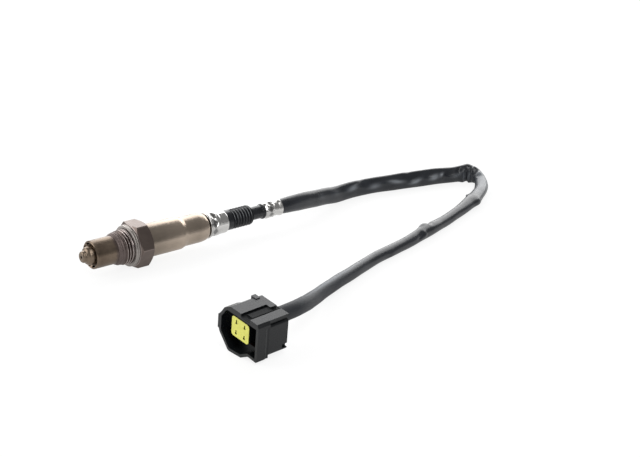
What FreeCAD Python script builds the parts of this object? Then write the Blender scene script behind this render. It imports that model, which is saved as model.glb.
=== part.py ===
import FreeCAD, Part
import math
import os

# Four-wire heated oxygen sensor with its sleeved lead and four-way connector, in millimetres.
# The origin is on the sensor's axis at the middle of the full thread.
# +X points along the axis towards the measuring nose, +Z is up, and the sensor lies on a hexagon flat.

V = FreeCAD.Vector

# Thread, hexagon and housing
thread_radius = 9.0
thread_length = 7.0
thread_lead_in = 1.0
undercut_radius = 7.95
undercut_length = 2.6
hexagon_across_flats = 22.0
hexagon_thickness = 8.2
hexagon_face_margin = 0.1
hexagon_chamfer_angle = 30.0
nose_spigot_length = 3.0
shell_spigot_length = 4.4
cavity_radius = 4.6
cavity_front_wall = 5.5
crimp_lip_length = 1.0
crimp_lip_overhang = 0.6
element_bore_clearance = 0.35

# Captive sealing ring
gasket_radius = 10.7
gasket_width = 2.3
gasket_bore_clearance = 0.2
gasket_fold_depth = 0.4
gasket_crest_width = 0.4
gasket_seat_clearance = 0.1
gasket_bore_bevel = 0.5

# Protection tubes over the sensing tip
outer_tube_radius = 7.35
outer_tube_wall = 0.5
outer_tube_length = 12.5
outer_tube_rim = 0.55
outer_tube_face_depth = 0.9
window_count = 8
window_web_angle = 15.0
window_edge = 0.45
inner_tube_radius = 4.9
inner_tube_wall = 0.4
inner_tube_running_gap = 0.05
nose_reach = 5.2
nose_shoulder_radius = 4.4
nose_stub_radius = 3.0
nose_stub_length = 2.2
nose_hole_radius = 0.75
side_hole_radius = 0.6
side_hole_count = 6
side_hole_offset = 3.0

# Sensing element and its packing
element_width = 4.2
element_thickness = 1.3
element_tip_gap = 3.6
element_tail = 36.0
lower_ceramic_length = 6.0
talc_length = 5.5
compression_ring_length = 1.7
compression_ring_wall = 1.3

# Contact holder, contact springs and leads
holder_radius = 6.3
holder_length = 17.0
holder_cavity_width = 5.6
holder_cavity_height = 4.4
clamp_wall = 0.5
clamp_length = 7.0
clamp_slot = 2.0
clamp_setback = 5.0
spring_width = 1.5
spring_thickness = 0.35
spring_lift = 0.45
spring_front_gap = 2.0
spring_contact_run = 3.4
barrel_gap = 1.2
barrel_length = 3.5
barrel_wall = 0.35
conductor_radius = 0.5
lead_radius = 0.95
lead_offset = 1.35
grommet_length = 6.0

# Upper shell
shell_radius = 8.6
shell_wall = 0.6
shell_wide_length = 20.7
shell_step_length = 2.6
shell_narrow_radius = 7.7
shell_narrow_length = 10.1
shell_crown_length = 4.3
shell_crown_shoulder = 2.6
shell_crown_radius = 6.65
shell_neck_radius = 4.7
shell_neck_length = 10.0

# Ribbed rubber boot
boot_wall = 0.65
boot_plain_length = 14.8
boot_rib_count = 7
boot_rib_pitch = 1.8
boot_groove_depth = 0.65
boot_groove_width = 0.8
boot_neck_radius = 3.5
boot_neck_length = 7.9
boot_bead_radius = 4.1
boot_bead_width = 1.6
boot_stub_length = 6.2
boot_bore_radius = 3.0
boot_front_gap = 1.4

# Crimp collars
front_collar_length = 12.0
front_collar_gap = 0.6
front_collar_wall = 1.0
front_collar_lip = 0.6
front_collar_waist = 0.25
front_collar_band = 6.6
crimp_count = 8
crimp_depth = 0.38
crimp_length = 3.6
rear_collar_length = 11.0
rear_collar_wall = 0.85
rear_collar_waist = 0.35
rear_collar_lip = 1.3
rear_collar_band = 4.2
rear_collar_flare = 2.4
rear_collar_mouth_wall = 0.45
rear_crimp_length = 3.2
rear_crimp_depth = 0.28

# Sleeved lead: the points of its route between the rear collar and the connector
sleeve_radius = 4.4
sleeve_bends = [
    (-113.5, 0.0, 0.0),
    (-132.0, -5.3, -3.0),
    (-156.0, -12.6, -6.6),
    (-178.0, -11.4, -6.6),
    (-203.0, -5.4, -6.6),
    (-222.0, 0.2, -6.6),
    (-235.0, 5.6, -6.6),
    (-235.2, 17.5, -6.6),
    (-224.5, 30.5, -6.6),
    (-206.5, 42.3, -6.6),
    (-183.0, 52.4, -6.6),
    (-157.0, 62.0, -6.6),
    (-130.0, 70.6, -6.6),
    (-104.0, 77.4, -6.6),
    (-81.0, 86.6, -6.6),
    (-61.0, 95.2, -6.4),
    (-45.0, 104.6, -4.6),
    (-33.0, 114.0, -1.2),
    (-23.0, 121.8, 2.0),
    (-13.7, 125.7, 3.2),
    (-4.7, 126.1, 2.8),
]
bend_share = 0.45

# Connector: its own frame has +x out of the mouth, y to the right seen from the front, z up
connector_lean = -9.26
hood_outline = [
    (-5.6, 10.0, 0.5),
    (-9.9, 7.6, 2.0),
    (-11.7, 4.8, 1.2),
    (-13.3, 2.7, 1.0),
    (-13.3, -5.9, 4.0),
    (-6.0, -13.4, 2.0),
    (3.1, -12.5, 1.4),
    (8.1, -9.4, 1.0),
    (14.3, -9.7, 0.8),
    (14.3, 8.2, 0.6),
    (13.5, 10.0, 0.3),
]
hood_depth = 7.0
hood_wall = 1.5
hood_back = 1.2
body_length = 18.4
body_left = -11.0
body_right = 13.2
body_bottom = -9.2
body_top = 6.8
body_corner = 1.5
mouth_depth = 11.0
pocket_wall = 1.0
rail_top = 10.0
rail_thickness = 1.3
rail_left = -5.6
rail_slot_left = 1.8
rail_slot_right = 8.2
rail_right = 13.5
rail_setback = 0.4
rail_overhang = 1.5
rail_pad_width = 3.0
rail_pad_setback = 14.4
ridge_width = 3.6
ridge_height = 0.7
ridge_setback = 2.6
hood_rib = 0.8
hood_rib_bottom = -5.0
hood_rib_top = 2.4
side_groove_radius = 1.9
side_groove_depth = 0.8
side_groove_setback = 6.1
lock_tab_setback = 13.3
lock_tab_length = 2.4
lock_tab_height = 0.4
lock_tab_width = 2.0
clip_window_length = 2.8
clip_window_height = 2.0
clip_window_depth = 1.2
insert_width = 12.2
insert_height = 10.1
insert_corner = 1.5
insert_recess = 1.5
insert_face = 1.5
insert_plate = 0.4
tower_wall = 0.8
tower_clearance = 0.05
terminal_pitch_y = 5.82
terminal_pitch_z = 5.36
blade_slot_width = 0.8
blade_slot_height = 2.1
blade_slot_relief = 1.4
terminal_width = 2.3
terminal_height = 2.5
terminal_wall = 0.3
terminal_clearance = 0.05
terminal_tail = 1.8
terminal_front_gap = 0.1
terminal_crimp_length = 1.5
seal_wall = 0.8
seal_length = 3.4
seal_crown = 0.2
interface_seal_wall = 1.2
interface_seal_length = 2.5
cover_plate = 1.2
cover_margin = 2.2
cover_collar_radius = 5.7
cover_collar_wall = 0.6
cover_collar_length = 2.9
cover_lip = 1.0
cover_lip_radius = 3.9

# Stations along the sensor's axis, from the sizes above
thread_front = thread_length / 2
thread_rear = -thread_length / 2
thread_face = thread_front + thread_lead_in
spigot_front = thread_face + nose_spigot_length
hexagon_front = thread_rear - undercut_length
hexagon_rear = hexagon_front - hexagon_thickness
housing_rear = hexagon_rear - shell_spigot_length
cavity_front = spigot_front - cavity_front_wall
tube_front = thread_face + outer_tube_length
nose_tip = tube_front + nose_reach
spigot_radius = outer_tube_radius - outer_tube_wall
lower_ceramic_rear = cavity_front - lower_ceramic_length
talc_rear = lower_ceramic_rear - talc_length
lip_front = housing_rear + crimp_lip_length
compression_front = lip_front + compression_ring_length
holder_front = housing_rear
holder_rear = holder_front - holder_length
element_front = nose_tip - element_tip_gap
element_rear = -element_tail
shell_step_start = hexagon_rear - shell_wide_length
shell_step_end = shell_step_start - shell_step_length
shell_crown_start = shell_step_end - shell_narrow_length
shell_crown_end = shell_crown_start - shell_crown_length
shell_rear = shell_crown_end - shell_neck_length
barrel_front = holder_rear - barrel_gap
barrel_rear = barrel_front - barrel_length
grommet_rear = shell_crown_start
grommet_front = grommet_rear + grommet_length
boot_front = shell_crown_end - boot_front_gap
boot_radius = shell_neck_radius + boot_wall
ribs_front = boot_front - boot_plain_length
ribs_rear = ribs_front - boot_rib_count * boot_rib_pitch
bead_front = ribs_rear - boot_neck_length
bead_rear = bead_front - boot_bead_width
boot_rear = bead_rear - boot_stub_length
front_collar_front = shell_crown_end - front_collar_gap
front_collar_rear = front_collar_front - front_collar_length
rear_collar_front = bead_rear
rear_collar_rear = rear_collar_front - rear_collar_length
sleeve_route = [(rear_collar_rear, 0.0, 0.0)] + sleeve_bends


def revolve(section):
    """Turn a closed outline of (x, radius) corners about the sensor's axis."""
    corners = [V(x, 0, r) for x, r in section]
    face = Part.Face(Part.makePolygon(corners + corners[:1]))
    return face.revolve(V(0, 0, 0), V(1, 0, 0), 360)


def disc(rear, front, radius, y=0.0, z=0.0):
    """Make a cylinder along X between two stations."""
    return Part.makeCylinder(radius, front - rear, V(rear, y, z), V(1, 0, 0))


def ring(rear, front, outer, inner, y=0.0, z=0.0):
    """Make a plain tube along X between two stations."""
    return disc(rear, front, outer, y, z).cut(disc(rear, front, inner, y, z))


def block(x_span, y_span, z_span):
    """Make a box from its low and high value on each axis."""
    size = [high - low for low, high in (x_span, y_span, z_span)]
    return Part.makeBox(*size, V(x_span[0], y_span[0], z_span[0]))


def turned(shape, angle):
    """Copy a shape turned about the sensor's axis."""
    copy = shape.copy()
    copy.rotate(V(0, 0, 0), V(1, 0, 0), angle)
    return copy


def pattern(shape, count, start=0.0):
    """Place copies of a shape evenly about the sensor's axis."""
    return [turned(shape, start + index * 360.0 / count) for index in range(count)]


def rounded_path(points, radii, closed):
    """Join straight runs with tangent arcs, one radius for each point, into a wire."""
    points = [V(*point) for point in points]
    count = len(points)
    entries, exits, middles = [], [], []
    for index, corner in enumerate(points):
        radius = radii[index]
        if radius <= 0 or (not closed and index in (0, count - 1)):
            entries.append(corner)
            exits.append(corner)
            middles.append(None)
            continue
        inward = (corner - points[index - 1]).normalize()
        outward = (points[(index + 1) % count] - corner).normalize()
        half_turn = inward.getAngle(outward) / 2
        reach = radius * math.tan(half_turn)
        entries.append(corner - inward * reach)
        exits.append(corner + outward * reach)
        towards_centre = (outward - inward).normalize()
        middles.append(corner + towards_centre * radius * (1 / math.cos(half_turn) - 1))
    edges = []
    for index in range(count):
        if middles[index] is not None:
            edges.append(Part.Arc(entries[index], middles[index], exits[index]).toShape())
        following = (index + 1) % count
        if closed or following:
            edges.append(Part.LineSegment(exits[index], entries[following]).toShape())
    return Part.Wire(edges)


def prism(outline, radii, x_low, x_high):
    """Push a rounded outline of (y, z) corners along X."""
    wire = rounded_path([(x_low, y, z) for y, z in outline], radii, True)
    return Part.Face(wire).extrude(V(x_high - x_low, 0, 0))


def rounded_block(x_span, y_span, z_span, corner):
    """Make a box whose four edges along X are rounded."""
    (left, right), (bottom, top) = y_span, z_span
    outline = [(left, bottom), (right, bottom), (right, top), (left, top)]
    return prism(outline, [corner] * 4, *x_span)


def one_solid(shape):
    """Clean a fused or cut shape and return its single solid."""
    shape = shape.removeSplitter()
    return shape.Solids[0] if len(shape.Solids) == 1 else shape


def crimped(shape, middle, radius, length, depth):
    """Press evenly spaced flat-bottomed dents into a band of a turned collar."""
    dent_radius = (length ** 2 / 4 + depth ** 2) / (2 * depth)
    width = 2 * radius
    axis_height = radius - depth + dent_radius
    dent = Part.makeCylinder(dent_radius, width, V(middle, -width / 2, axis_height), V(0, 1, 0))
    for tool in pattern(dent, crimp_count):
        shape = shape.cut(tool)
    return shape


def make_sensor_housing():
    """Turn and mill the steel body with its thread, hexagon, spigots and stepped bore."""
    flat = hexagon_across_flats / 2
    corner = flat / math.cos(math.radians(30))
    face_radius = flat - hexagon_face_margin
    chamfer = (corner - face_radius) * math.tan(math.radians(hexagon_chamfer_angle))
    angles = [math.radians(60 * index) for index in range(6)]
    corners = [V(hexagon_rear, corner * math.cos(angle), corner * math.sin(angle)) for angle in angles]
    hexagon = Part.Face(Part.makePolygon(corners + corners[:1])).extrude(V(hexagon_thickness, 0, 0))
    hexagon = hexagon.common(revolve([
        (hexagon_rear, 0), (hexagon_rear, face_radius), (hexagon_rear + chamfer, corner),
        (hexagon_front - chamfer, corner), (hexagon_front, face_radius), (hexagon_front, 0)]))
    shank = revolve([
        (housing_rear, 0), (housing_rear, shell_radius - shell_wall),
        (hexagon_rear, shell_radius - shell_wall), (hexagon_rear, undercut_radius),
        (thread_rear, undercut_radius), (thread_rear, thread_radius), (thread_front, thread_radius),
        (thread_face, thread_radius - thread_lead_in), (thread_face, spigot_radius),
        (spigot_front, spigot_radius), (spigot_front, 0)])
    element_bore = math.hypot(element_width, element_thickness) / 2 + element_bore_clearance
    body = hexagon.fuse(shank)
    body = body.cut(disc(housing_rear, spigot_front, element_bore))
    body = body.cut(disc(lip_front, cavity_front, cavity_radius))
    body = body.cut(disc(housing_rear, lip_front, cavity_radius - crimp_lip_overhang))
    return one_solid(body)


def make_gasket_ring():
    """Fold the captive sealing ring: two crowns round its edge, and a seat clear of the thread."""
    bore = undercut_radius + gasket_bore_clearance
    low, high = hexagon_front, hexagon_front + gasket_width
    middle = (low + high) / 2
    flank = (gasket_width / 2 - gasket_crest_width) / 2
    valley_radius = gasket_radius - gasket_fold_depth
    seat_bore = thread_radius + gasket_seat_clearance
    return revolve([
        (low, bore), (low, valley_radius), (low + flank, gasket_radius), (middle - flank, gasket_radius),
        (middle, valley_radius), (middle + flank, gasket_radius), (high - flank, gasket_radius),
        (high, valley_radius), (high, seat_bore), (high - gasket_bore_bevel, bore)])


def sector(x_span, inner, outer, half_angle):
    """Make a block bounded by two arcs about the axis, centred on +Z."""
    def place(radius, angle):
        return V(x_span[0], radius * math.sin(angle), radius * math.cos(angle))
    half = math.radians(half_angle)
    edges = [
        Part.Arc(place(outer, -half), place(outer, 0), place(outer, half)).toShape(),
        Part.LineSegment(place(outer, half), place(inner, half)).toShape(),
        Part.Arc(place(inner, half), place(inner, 0), place(inner, -half)).toShape(),
        Part.LineSegment(place(inner, -half), place(outer, -half)).toShape()]
    return Part.Face(Part.Wire(edges)).extrude(V(x_span[1] - x_span[0], 0, 0))


def make_outer_protection_tube():
    """Draw the outer tube: its front face dips inwards and is pierced by a ring of windows."""
    inside = outer_tube_radius - outer_tube_wall
    eye = inner_tube_radius + inner_tube_running_gap
    dip = tube_front - outer_tube_face_depth
    tube = revolve([
        (thread_face, inside), (thread_face, outer_tube_radius),
        (tube_front - outer_tube_rim, outer_tube_radius), (tube_front, outer_tube_radius - outer_tube_rim),
        (dip, eye), (dip - outer_tube_wall, eye),
        (tube_front - outer_tube_rim - outer_tube_wall, inside)])
    half_angle = (360.0 / window_count - window_web_angle) / 2
    span = (dip - 3 * outer_tube_wall, tube_front + outer_tube_wall)
    window = sector(span, eye + window_edge, inside - window_edge, half_angle)
    for tool in pattern(window, window_count, 180.0 / window_count):
        tube = tube.cut(tool)
    return one_solid(tube)


def make_inner_protection_tube():
    """Draw the inner tube with its flange, stepped nose, end hole and side holes."""
    wall = inner_tube_wall
    stub = nose_tip - nose_stub_length
    waist = (stub + tube_front) / 2
    tube = revolve([
        (spigot_front, inner_tube_radius - wall), (spigot_front, spigot_radius),
        (spigot_front + wall, spigot_radius), (spigot_front + wall, inner_tube_radius),
        (tube_front + wall, inner_tube_radius), (waist + wall, nose_shoulder_radius + wall / 2),
        (stub - wall, nose_shoulder_radius - wall), (stub, nose_stub_radius),
        (nose_tip - 2 * wall, nose_stub_radius - wall / 2), (nose_tip, nose_stub_radius - 2 * wall),
        (nose_tip, nose_hole_radius), (nose_tip - wall, nose_hole_radius),
        (nose_tip - wall, nose_stub_radius - 3 * wall), (stub - wall, nose_stub_radius - wall),
        (stub - 2 * wall, nose_shoulder_radius - 2 * wall), (waist, nose_shoulder_radius - wall / 2),
        (tube_front, inner_tube_radius - wall)])
    hole_start = V(spigot_front + side_hole_offset, 0, 0)
    hole = Part.makeCylinder(side_hole_radius, 2 * inner_tube_radius, hole_start)
    for tool in pattern(hole, side_hole_count):
        tube = tube.cut(tool)
    return one_solid(tube)


def element_block(x_span, clearance=0.0):
    """Make the flat space that the sensing element fills, with an even clearance."""
    half_width = element_width / 2 + clearance
    half_thickness = element_thickness / 2 + clearance
    return block(x_span, (-half_width, half_width), (-half_thickness, half_thickness))


def make_sensing_element():
    """Make the flat ceramic strip, chamfered along its edges at the tip."""
    strip = element_block((element_rear, element_front))
    tip_edges = [edge for edge in strip.Edges
                 if edge.CenterOfMass.x > element_front - element_thickness / 2
                 and edge.Length > (element_thickness + element_width) / 2]
    return strip.makeChamfer(element_thickness / 4, tip_edges)


def make_packing(rear, front):
    """Make one slug of the packing stack, with the element's slot through it."""
    return disc(rear, front, cavity_radius).cut(element_block((rear, front)))


def make_compression_ring():
    """Make the steel ring that the housing's crimped lip holds down."""
    return ring(lip_front, compression_front, cavity_radius, cavity_radius - compression_ring_wall)


def make_contact_holder(side):
    """Make one half of the ceramic contact holder, above or below the element."""
    half = disc(holder_rear, holder_front, holder_radius)
    half_width = holder_cavity_width / 2
    half_height = holder_cavity_height / 2
    half = half.cut(block((holder_rear, holder_front - spring_front_gap / 2),
                          (-half_width, half_width), (-half_height, half_height)))
    half = half.cut(element_block((holder_rear, holder_front)))
    height = (0, holder_radius) if side > 0 else (-holder_radius, 0)
    return one_solid(half.common(block((holder_rear, holder_front), (-holder_radius, holder_radius), height)))


def make_holder_clamp():
    """Bend the open spring ring that squeezes the two holder halves together."""
    front = holder_front - clamp_setback
    rear = front - clamp_length
    clamp = ring(rear, front, holder_radius + clamp_wall, holder_radius)
    slot = block((rear, front), (holder_radius - clamp_wall, holder_radius + 2 * clamp_wall),
                 (-clamp_slot / 2, clamp_slot / 2))
    return clamp.cut(slot)


def lead_places(offset_y, offset_z):
    """List the four lead positions round an axis."""
    return [(y, z) for z in (offset_z, -offset_z) for y in (-offset_y, offset_y)]


def make_contact_springs():
    """Stamp the four contact springs, each with a contact nose and a crimp barrel."""
    springs = []
    half = element_thickness / 2
    front = holder_front - spring_front_gap
    touch = front - spring_contact_run
    rest = touch - spring_contact_run
    lower_edge = [(front, half + spring_lift), (touch, half), (rest, half + spring_lift),
                  (barrel_front, half + spring_lift)]
    upper_edge = [(x, z + spring_thickness) for x, z in reversed(lower_edge)]
    barrel_radius = conductor_radius + barrel_wall
    for y, z in lead_places(lead_offset, lead_offset):
        side = math.copysign(1, z)
        corners = [V(x, y - spring_width / 2, side * height) for x, height in lower_edge + upper_edge]
        strip = Part.Face(Part.makePolygon(corners + corners[:1])).extrude(V(0, spring_width, 0))
        barrel = disc(barrel_rear, barrel_front + spring_thickness, barrel_radius, y, z)
        spring = strip.fuse(barrel).cut(disc(barrel_rear, barrel_front, conductor_radius, y, z))
        springs.append(one_solid(spring))
    return Part.makeCompound(springs)


def make_wire_grommet():
    """Mould the seal that the leads pass through at the rear of the shell."""
    grommet = disc(grommet_rear, grommet_front, shell_narrow_radius - shell_wall)
    for y, z in lead_places(lead_offset, lead_offset):
        grommet = grommet.cut(disc(grommet_rear, grommet_front, lead_radius, y, z))
    return grommet


def make_upper_shell():
    """Draw the protective shell: wide body, step, narrow body, rounded crown and rear neck."""
    wall = shell_wall
    crown_middle = shell_crown_start - shell_crown_shoulder
    return revolve([
        (hexagon_rear, shell_radius), (shell_step_start, shell_radius),
        (shell_step_end, shell_narrow_radius), (shell_crown_start, shell_narrow_radius),
        (crown_middle, shell_narrow_radius - wall / 2), (shell_crown_end, shell_crown_radius),
        (shell_crown_end, shell_neck_radius), (shell_rear, shell_neck_radius),
        (shell_rear, shell_neck_radius - wall), (shell_crown_end + wall, shell_neck_radius - wall),
        (shell_crown_end + wall, shell_crown_radius - wall / 2),
        (shell_crown_start, shell_narrow_radius - wall),
        (shell_step_end + wall / 2, shell_narrow_radius - wall),
        (shell_step_start + wall / 2, shell_radius - wall), (hexagon_rear, shell_radius - wall)])


def make_strain_relief_boot():
    """Mould the rubber boot: plain front, grooved bellows, slim neck, end bead and stub."""
    outline = [(boot_front, boot_radius)]
    for index in range(boot_rib_count):
        crest = ribs_front - index * boot_rib_pitch
        flank = (boot_rib_pitch - boot_groove_width) / 2
        outline += [
            (crest, boot_radius), (crest - flank / 2, boot_radius - boot_groove_depth),
            (crest - flank / 2 - boot_groove_width, boot_radius - boot_groove_depth),
            (crest - flank - boot_groove_width, boot_radius)]
    outline += [
        (ribs_rear, boot_radius), (ribs_rear, boot_neck_radius), (bead_front, boot_neck_radius),
        (bead_front - boot_bead_width / 3, boot_bead_radius),
        (bead_rear + boot_bead_width / 3, boot_bead_radius),
        (bead_rear, boot_bead_radius - boot_groove_depth / 3), (bead_rear, boot_neck_radius),
        (boot_rear, boot_neck_radius), (boot_rear, boot_bore_radius), (shell_rear, boot_bore_radius),
        (shell_rear, shell_neck_radius), (boot_front, shell_neck_radius)]
    return revolve(outline)


def make_front_crimp_collar():
    """Form the steel collar that clamps the boot on the shell's neck."""
    low, high = front_collar_rear, front_collar_front
    lip = front_collar_lip
    outside = boot_radius + front_collar_wall
    slim = outside - front_collar_waist
    band_front = high - 2 * lip
    band_rear = high - front_collar_band
    collar = revolve([
        (high, boot_radius), (high, outside + lip / 2), (high - lip / 2, outside + lip),
        (high - lip, outside + lip), (band_front, outside), (band_rear, outside),
        (band_rear - lip, slim), (low + lip, slim), (low, slim - lip / 2), (low, boot_radius)])
    band_middle = (band_front + band_rear) / 2
    return one_solid(crimped(collar, band_middle, outside, crimp_length, crimp_depth))


def make_rear_crimp_collar():
    """Form the smaller collar that joins the boot's stub to the sleeve, with a flared mouth."""
    low, high = rear_collar_rear, rear_collar_front
    band = boot_neck_radius + rear_collar_wall
    waist = band - rear_collar_waist
    mouth = sleeve_radius + rear_collar_mouth_wall / 4
    band_front = high - rear_collar_lip
    band_rear = band_front - rear_collar_band
    collar = revolve([
        (high, boot_neck_radius), (high, waist - rear_collar_waist / 2), (high - rear_collar_waist, waist),
        (band_front, band), (band_rear, band), (band_rear - rear_collar_waist * 2, waist),
        (low + rear_collar_flare, waist), (low + rear_collar_waist * 2, mouth), (low, mouth),
        (low, mouth - rear_collar_mouth_wall), (boot_rear, boot_neck_radius)])
    band_middle = (band_front + band_rear) / 2
    return one_solid(crimped(collar, band_middle, band, rear_crimp_length, rear_crimp_depth))


def route_radii(points):
    """Work out the largest arc that each corner of the lead's route has room for."""
    points = [V(*point) for point in points]
    radii = [0.0]
    for before, corner, after in zip(points, points[1:], points[2:]):
        inward, outward = corner - before, after - corner
        half_turn = inward.getAngle(outward) / 2
        radii.append(bend_share * min(inward.Length, outward.Length) / math.tan(half_turn))
    return radii + [0.0]


def make_cable_sleeve():
    """Sweep the sleeved lead along its route of straight runs and tangent arcs."""
    radii = route_radii(sleeve_route)
    path = rounded_path(sleeve_route, radii, False)
    start, following = V(*sleeve_route[0]), V(*sleeve_route[1])
    section = Part.Wire(Part.makeCircle(sleeve_radius, start, following - start))
    sleeve = path.makePipeShell([section], True, False)
    expected = math.pi * sleeve_radius ** 2 * path.Length
    print("lead length %.1f mm, bend radii %s" % (path.Length, [round(radius, 1) for radius in radii[1:-1]]))
    print("lead volume over section times length: %.4f" % (sleeve.Volume / expected))
    return sleeve


def tower_block(span, inset):
    """Make a block with the tower's outline, drawn in by a distance all round."""
    half_y, half_z = insert_width / 2 - inset, insert_height / 2 - inset
    return rounded_block(span, (-half_y, half_y), (-half_z, half_z), insert_corner - inset)


def make_connector_housing():
    """Mould the connector's hood, body, rails, latch ridge, inner tower and terminal cavities."""
    outline = [(y, z) for y, z, rounding in hood_outline]
    roundings = [rounding for y, z, rounding in hood_outline]
    hood_left, hood_right = min(outline)[0], max(outline)[0]
    hood_bottom = min(z for y, z in outline)
    hood = prism(outline, roundings, -hood_depth, 0)
    rib = rounded_block((-hood_depth, 0), (hood_left - hood_rib, hood_left + hood_wall),
                        (hood_rib_bottom, hood_rib_top), hood_rib / 2)
    body = rounded_block((-body_length, -hood_depth), (body_left, body_right), (body_bottom, body_top),
                         body_corner)
    rail_bottom = rail_top - rail_thickness
    neck = block((-body_length, 0), (rail_left + rail_overhang, rail_right - rail_overhang),
                 (body_top - body_corner, rail_bottom))
    rail_span = (rail_setback - body_length, -hood_depth)
    rail_height = (rail_bottom, rail_top)
    left_rail = block(rail_span, (rail_left, rail_slot_left), rail_height)
    rail_pad = block((rail_setback - body_length, -rail_pad_setback),
                     (rail_left, rail_slot_left + rail_pad_width), rail_height)
    right_rail = block(rail_span, (rail_slot_right, rail_right), rail_height)
    tab_front = -lock_tab_setback
    tab = block((tab_front - lock_tab_length, tab_front),
                (rail_left - lock_tab_width, rail_left + rail_overhang),
                (rail_bottom, rail_top + lock_tab_height))
    slot = block((-hood_depth, 0), (rail_slot_left, rail_slot_right), rail_height)
    ridge_middle = (rail_slot_left + rail_slot_right) / 2
    ridge = block((-rail_pad_setback, -ridge_setback),
                  (ridge_middle - ridge_width / 2, ridge_middle + ridge_width / 2),
                  (rail_bottom - hood_wall, rail_bottom + ridge_height))
    groove_axis = hood_right + side_groove_radius - side_groove_depth
    side_groove = Part.makeCylinder(side_groove_radius, body_top - hood_bottom,
                                    V(-side_groove_setback, groove_axis, hood_bottom))
    window_low = body_bottom + body_corner
    window = block((-body_length, clip_window_length - body_length),
                   (body_right - clip_window_depth, body_right),
                   (window_low, window_low + clip_window_height))
    mouth_wire = rounded_path([(0, y, z) for y, z in outline], roundings, True).makeOffset2D(-hood_wall)
    mouth = Part.Face(mouth_wire).extrude(V(hood_back - hood_depth, 0, 0))
    mouth = mouth.common(block((hood_back - hood_depth, 0), (hood_left, hood_right),
                               (hood_bottom, rail_bottom - hood_wall)))
    deep = rounded_block((-mouth_depth, -hood_depth / 2), (body_left + hood_wall, body_right - hood_wall),
                         (body_bottom + hood_wall, body_top - pocket_wall), body_corner / 2)
    housing = hood.cut(slot)
    for piece in (rib, body, neck, left_rail, rail_pad, right_rail, tab, ridge):
        housing = housing.fuse(piece)
    for tool in (side_groove, window, mouth, deep):
        housing = housing.cut(tool)
    tower_front = -insert_recess - insert_plate
    housing = housing.fuse(tower_block((-mouth_depth - pocket_wall, tower_front), 0))
    housing = housing.cut(tower_block((-mouth_depth, tower_front), tower_wall))

    half_y = terminal_width / 2 + terminal_clearance
    half_z = terminal_height / 2 + terminal_clearance
    channel_rear = -mouth_depth - terminal_tail - terminal_clearance
    for y, z in lead_places(terminal_pitch_y / 2, terminal_pitch_z / 2):
        housing = housing.cut(block((channel_rear, -mouth_depth),
                                    (y - half_y, y + half_y), (z - half_z, z + half_z)))
        housing = housing.cut(disc(-body_length, channel_rear, lead_radius + seal_wall, y, z))
    return one_solid(housing)


def make_connector_insert():
    """Mould the bright terminal keeper: a plug inside the tower and a plate with four blade slots."""
    tower_front = -insert_recess - insert_plate
    insert = tower_block((-mouth_depth, tower_front), tower_wall + tower_clearance)
    insert = insert.fuse(tower_block((tower_front, -insert_recess), 0))
    face_rear = -insert_recess - insert_face
    channel_y = terminal_width / 2 + terminal_clearance
    channel_z = terminal_height / 2 + terminal_clearance
    for y, z in lead_places(terminal_pitch_y / 2, terminal_pitch_z / 2):
        insert = insert.cut(block((-mouth_depth, face_rear), (y - channel_y, y + channel_y),
                                  (z - channel_z, z + channel_z)))
        insert = insert.cut(block((face_rear, -insert_recess),
                                  (y - blade_slot_width / 2, y + blade_slot_width / 2),
                                  (z - blade_slot_height / 2, z + blade_slot_height / 2)))
        low = z - blade_slot_height / 2
        insert = insert.cut(block((face_rear, -insert_recess),
                                  (y - blade_slot_relief / 2, y + blade_slot_relief / 2),
                                  (low, low + blade_slot_width)))
    return one_solid(insert)


def make_connector_terminals():
    """Stamp the four female terminals: a hollow box with a crimp barrel behind it."""
    terminals = []
    front = -insert_recess - insert_face - terminal_front_gap
    box_rear = -mouth_depth - terminal_tail
    barrel_end = box_rear - terminal_crimp_length
    half_y, half_z = terminal_width / 2, terminal_height / 2
    for y, z in lead_places(terminal_pitch_y / 2, terminal_pitch_z / 2):
        box = block((box_rear, front), (y - half_y, y + half_y), (z - half_z, z + half_z))
        hollow = block((box_rear + terminal_wall, front),
                       (y - half_y + terminal_wall, y + half_y - terminal_wall),
                       (z - half_z + terminal_wall, z + half_z - terminal_wall))
        barrel = disc(barrel_end, box_rear, conductor_radius + barrel_wall, y, z)
        terminal = box.cut(hollow).fuse(barrel).cut(disc(barrel_end, box_rear, conductor_radius, y, z))
        terminals.append(one_solid(terminal))
    return Part.makeCompound(terminals)


def make_wire_seals():
    """Mould the four small crowned seals that close the housing round the leads."""
    seals = []
    outer = lead_radius + seal_wall
    front = -mouth_depth - terminal_tail - terminal_crimp_length - terminal_clearance
    rear = front - seal_length
    crest = (front + rear) / 2
    for y, z in lead_places(terminal_pitch_y / 2, terminal_pitch_z / 2):
        seal = revolve([
            (rear, lead_radius), (rear, outer - seal_crown), (crest, outer), (front, outer - seal_crown),
            (front, lead_radius)])
        seal.translate(V(0, y, z))
        seals.append(seal)
    return Part.makeCompound(seals)


def make_interface_seal():
    """Mould the ring seal that sits round the foot of the tower."""
    half_y, half_z = insert_width / 2, insert_height / 2
    grow = interface_seal_wall
    span = (-mouth_depth, interface_seal_length - mouth_depth)
    outer = rounded_block(span, (-half_y - grow, half_y + grow), (-half_z - grow / 2, half_z + grow / 2),
                          insert_corner + grow / 2)
    return outer.cut(rounded_block(span, (-half_y, half_y), (-half_z, half_z), insert_corner))


def make_rear_cover():
    """Mould the rear cover with the collar that holds the sleeve's end."""
    rear = -body_length - cover_plate
    plate = rounded_block((rear, -body_length), (body_left + cover_margin, body_right - cover_margin),
                          (body_bottom + cover_margin / 2, body_top - cover_margin / 2), body_corner)
    mouth = rear - cover_collar_length
    collar = disc(mouth, rear, cover_collar_radius)
    cover = plate.fuse(collar)
    cover = cover.cut(disc(mouth + cover_lip, -body_length, cover_collar_radius - cover_collar_wall))
    return one_solid(cover.cut(disc(mouth, mouth + cover_lip, cover_lip_radius)))


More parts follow.
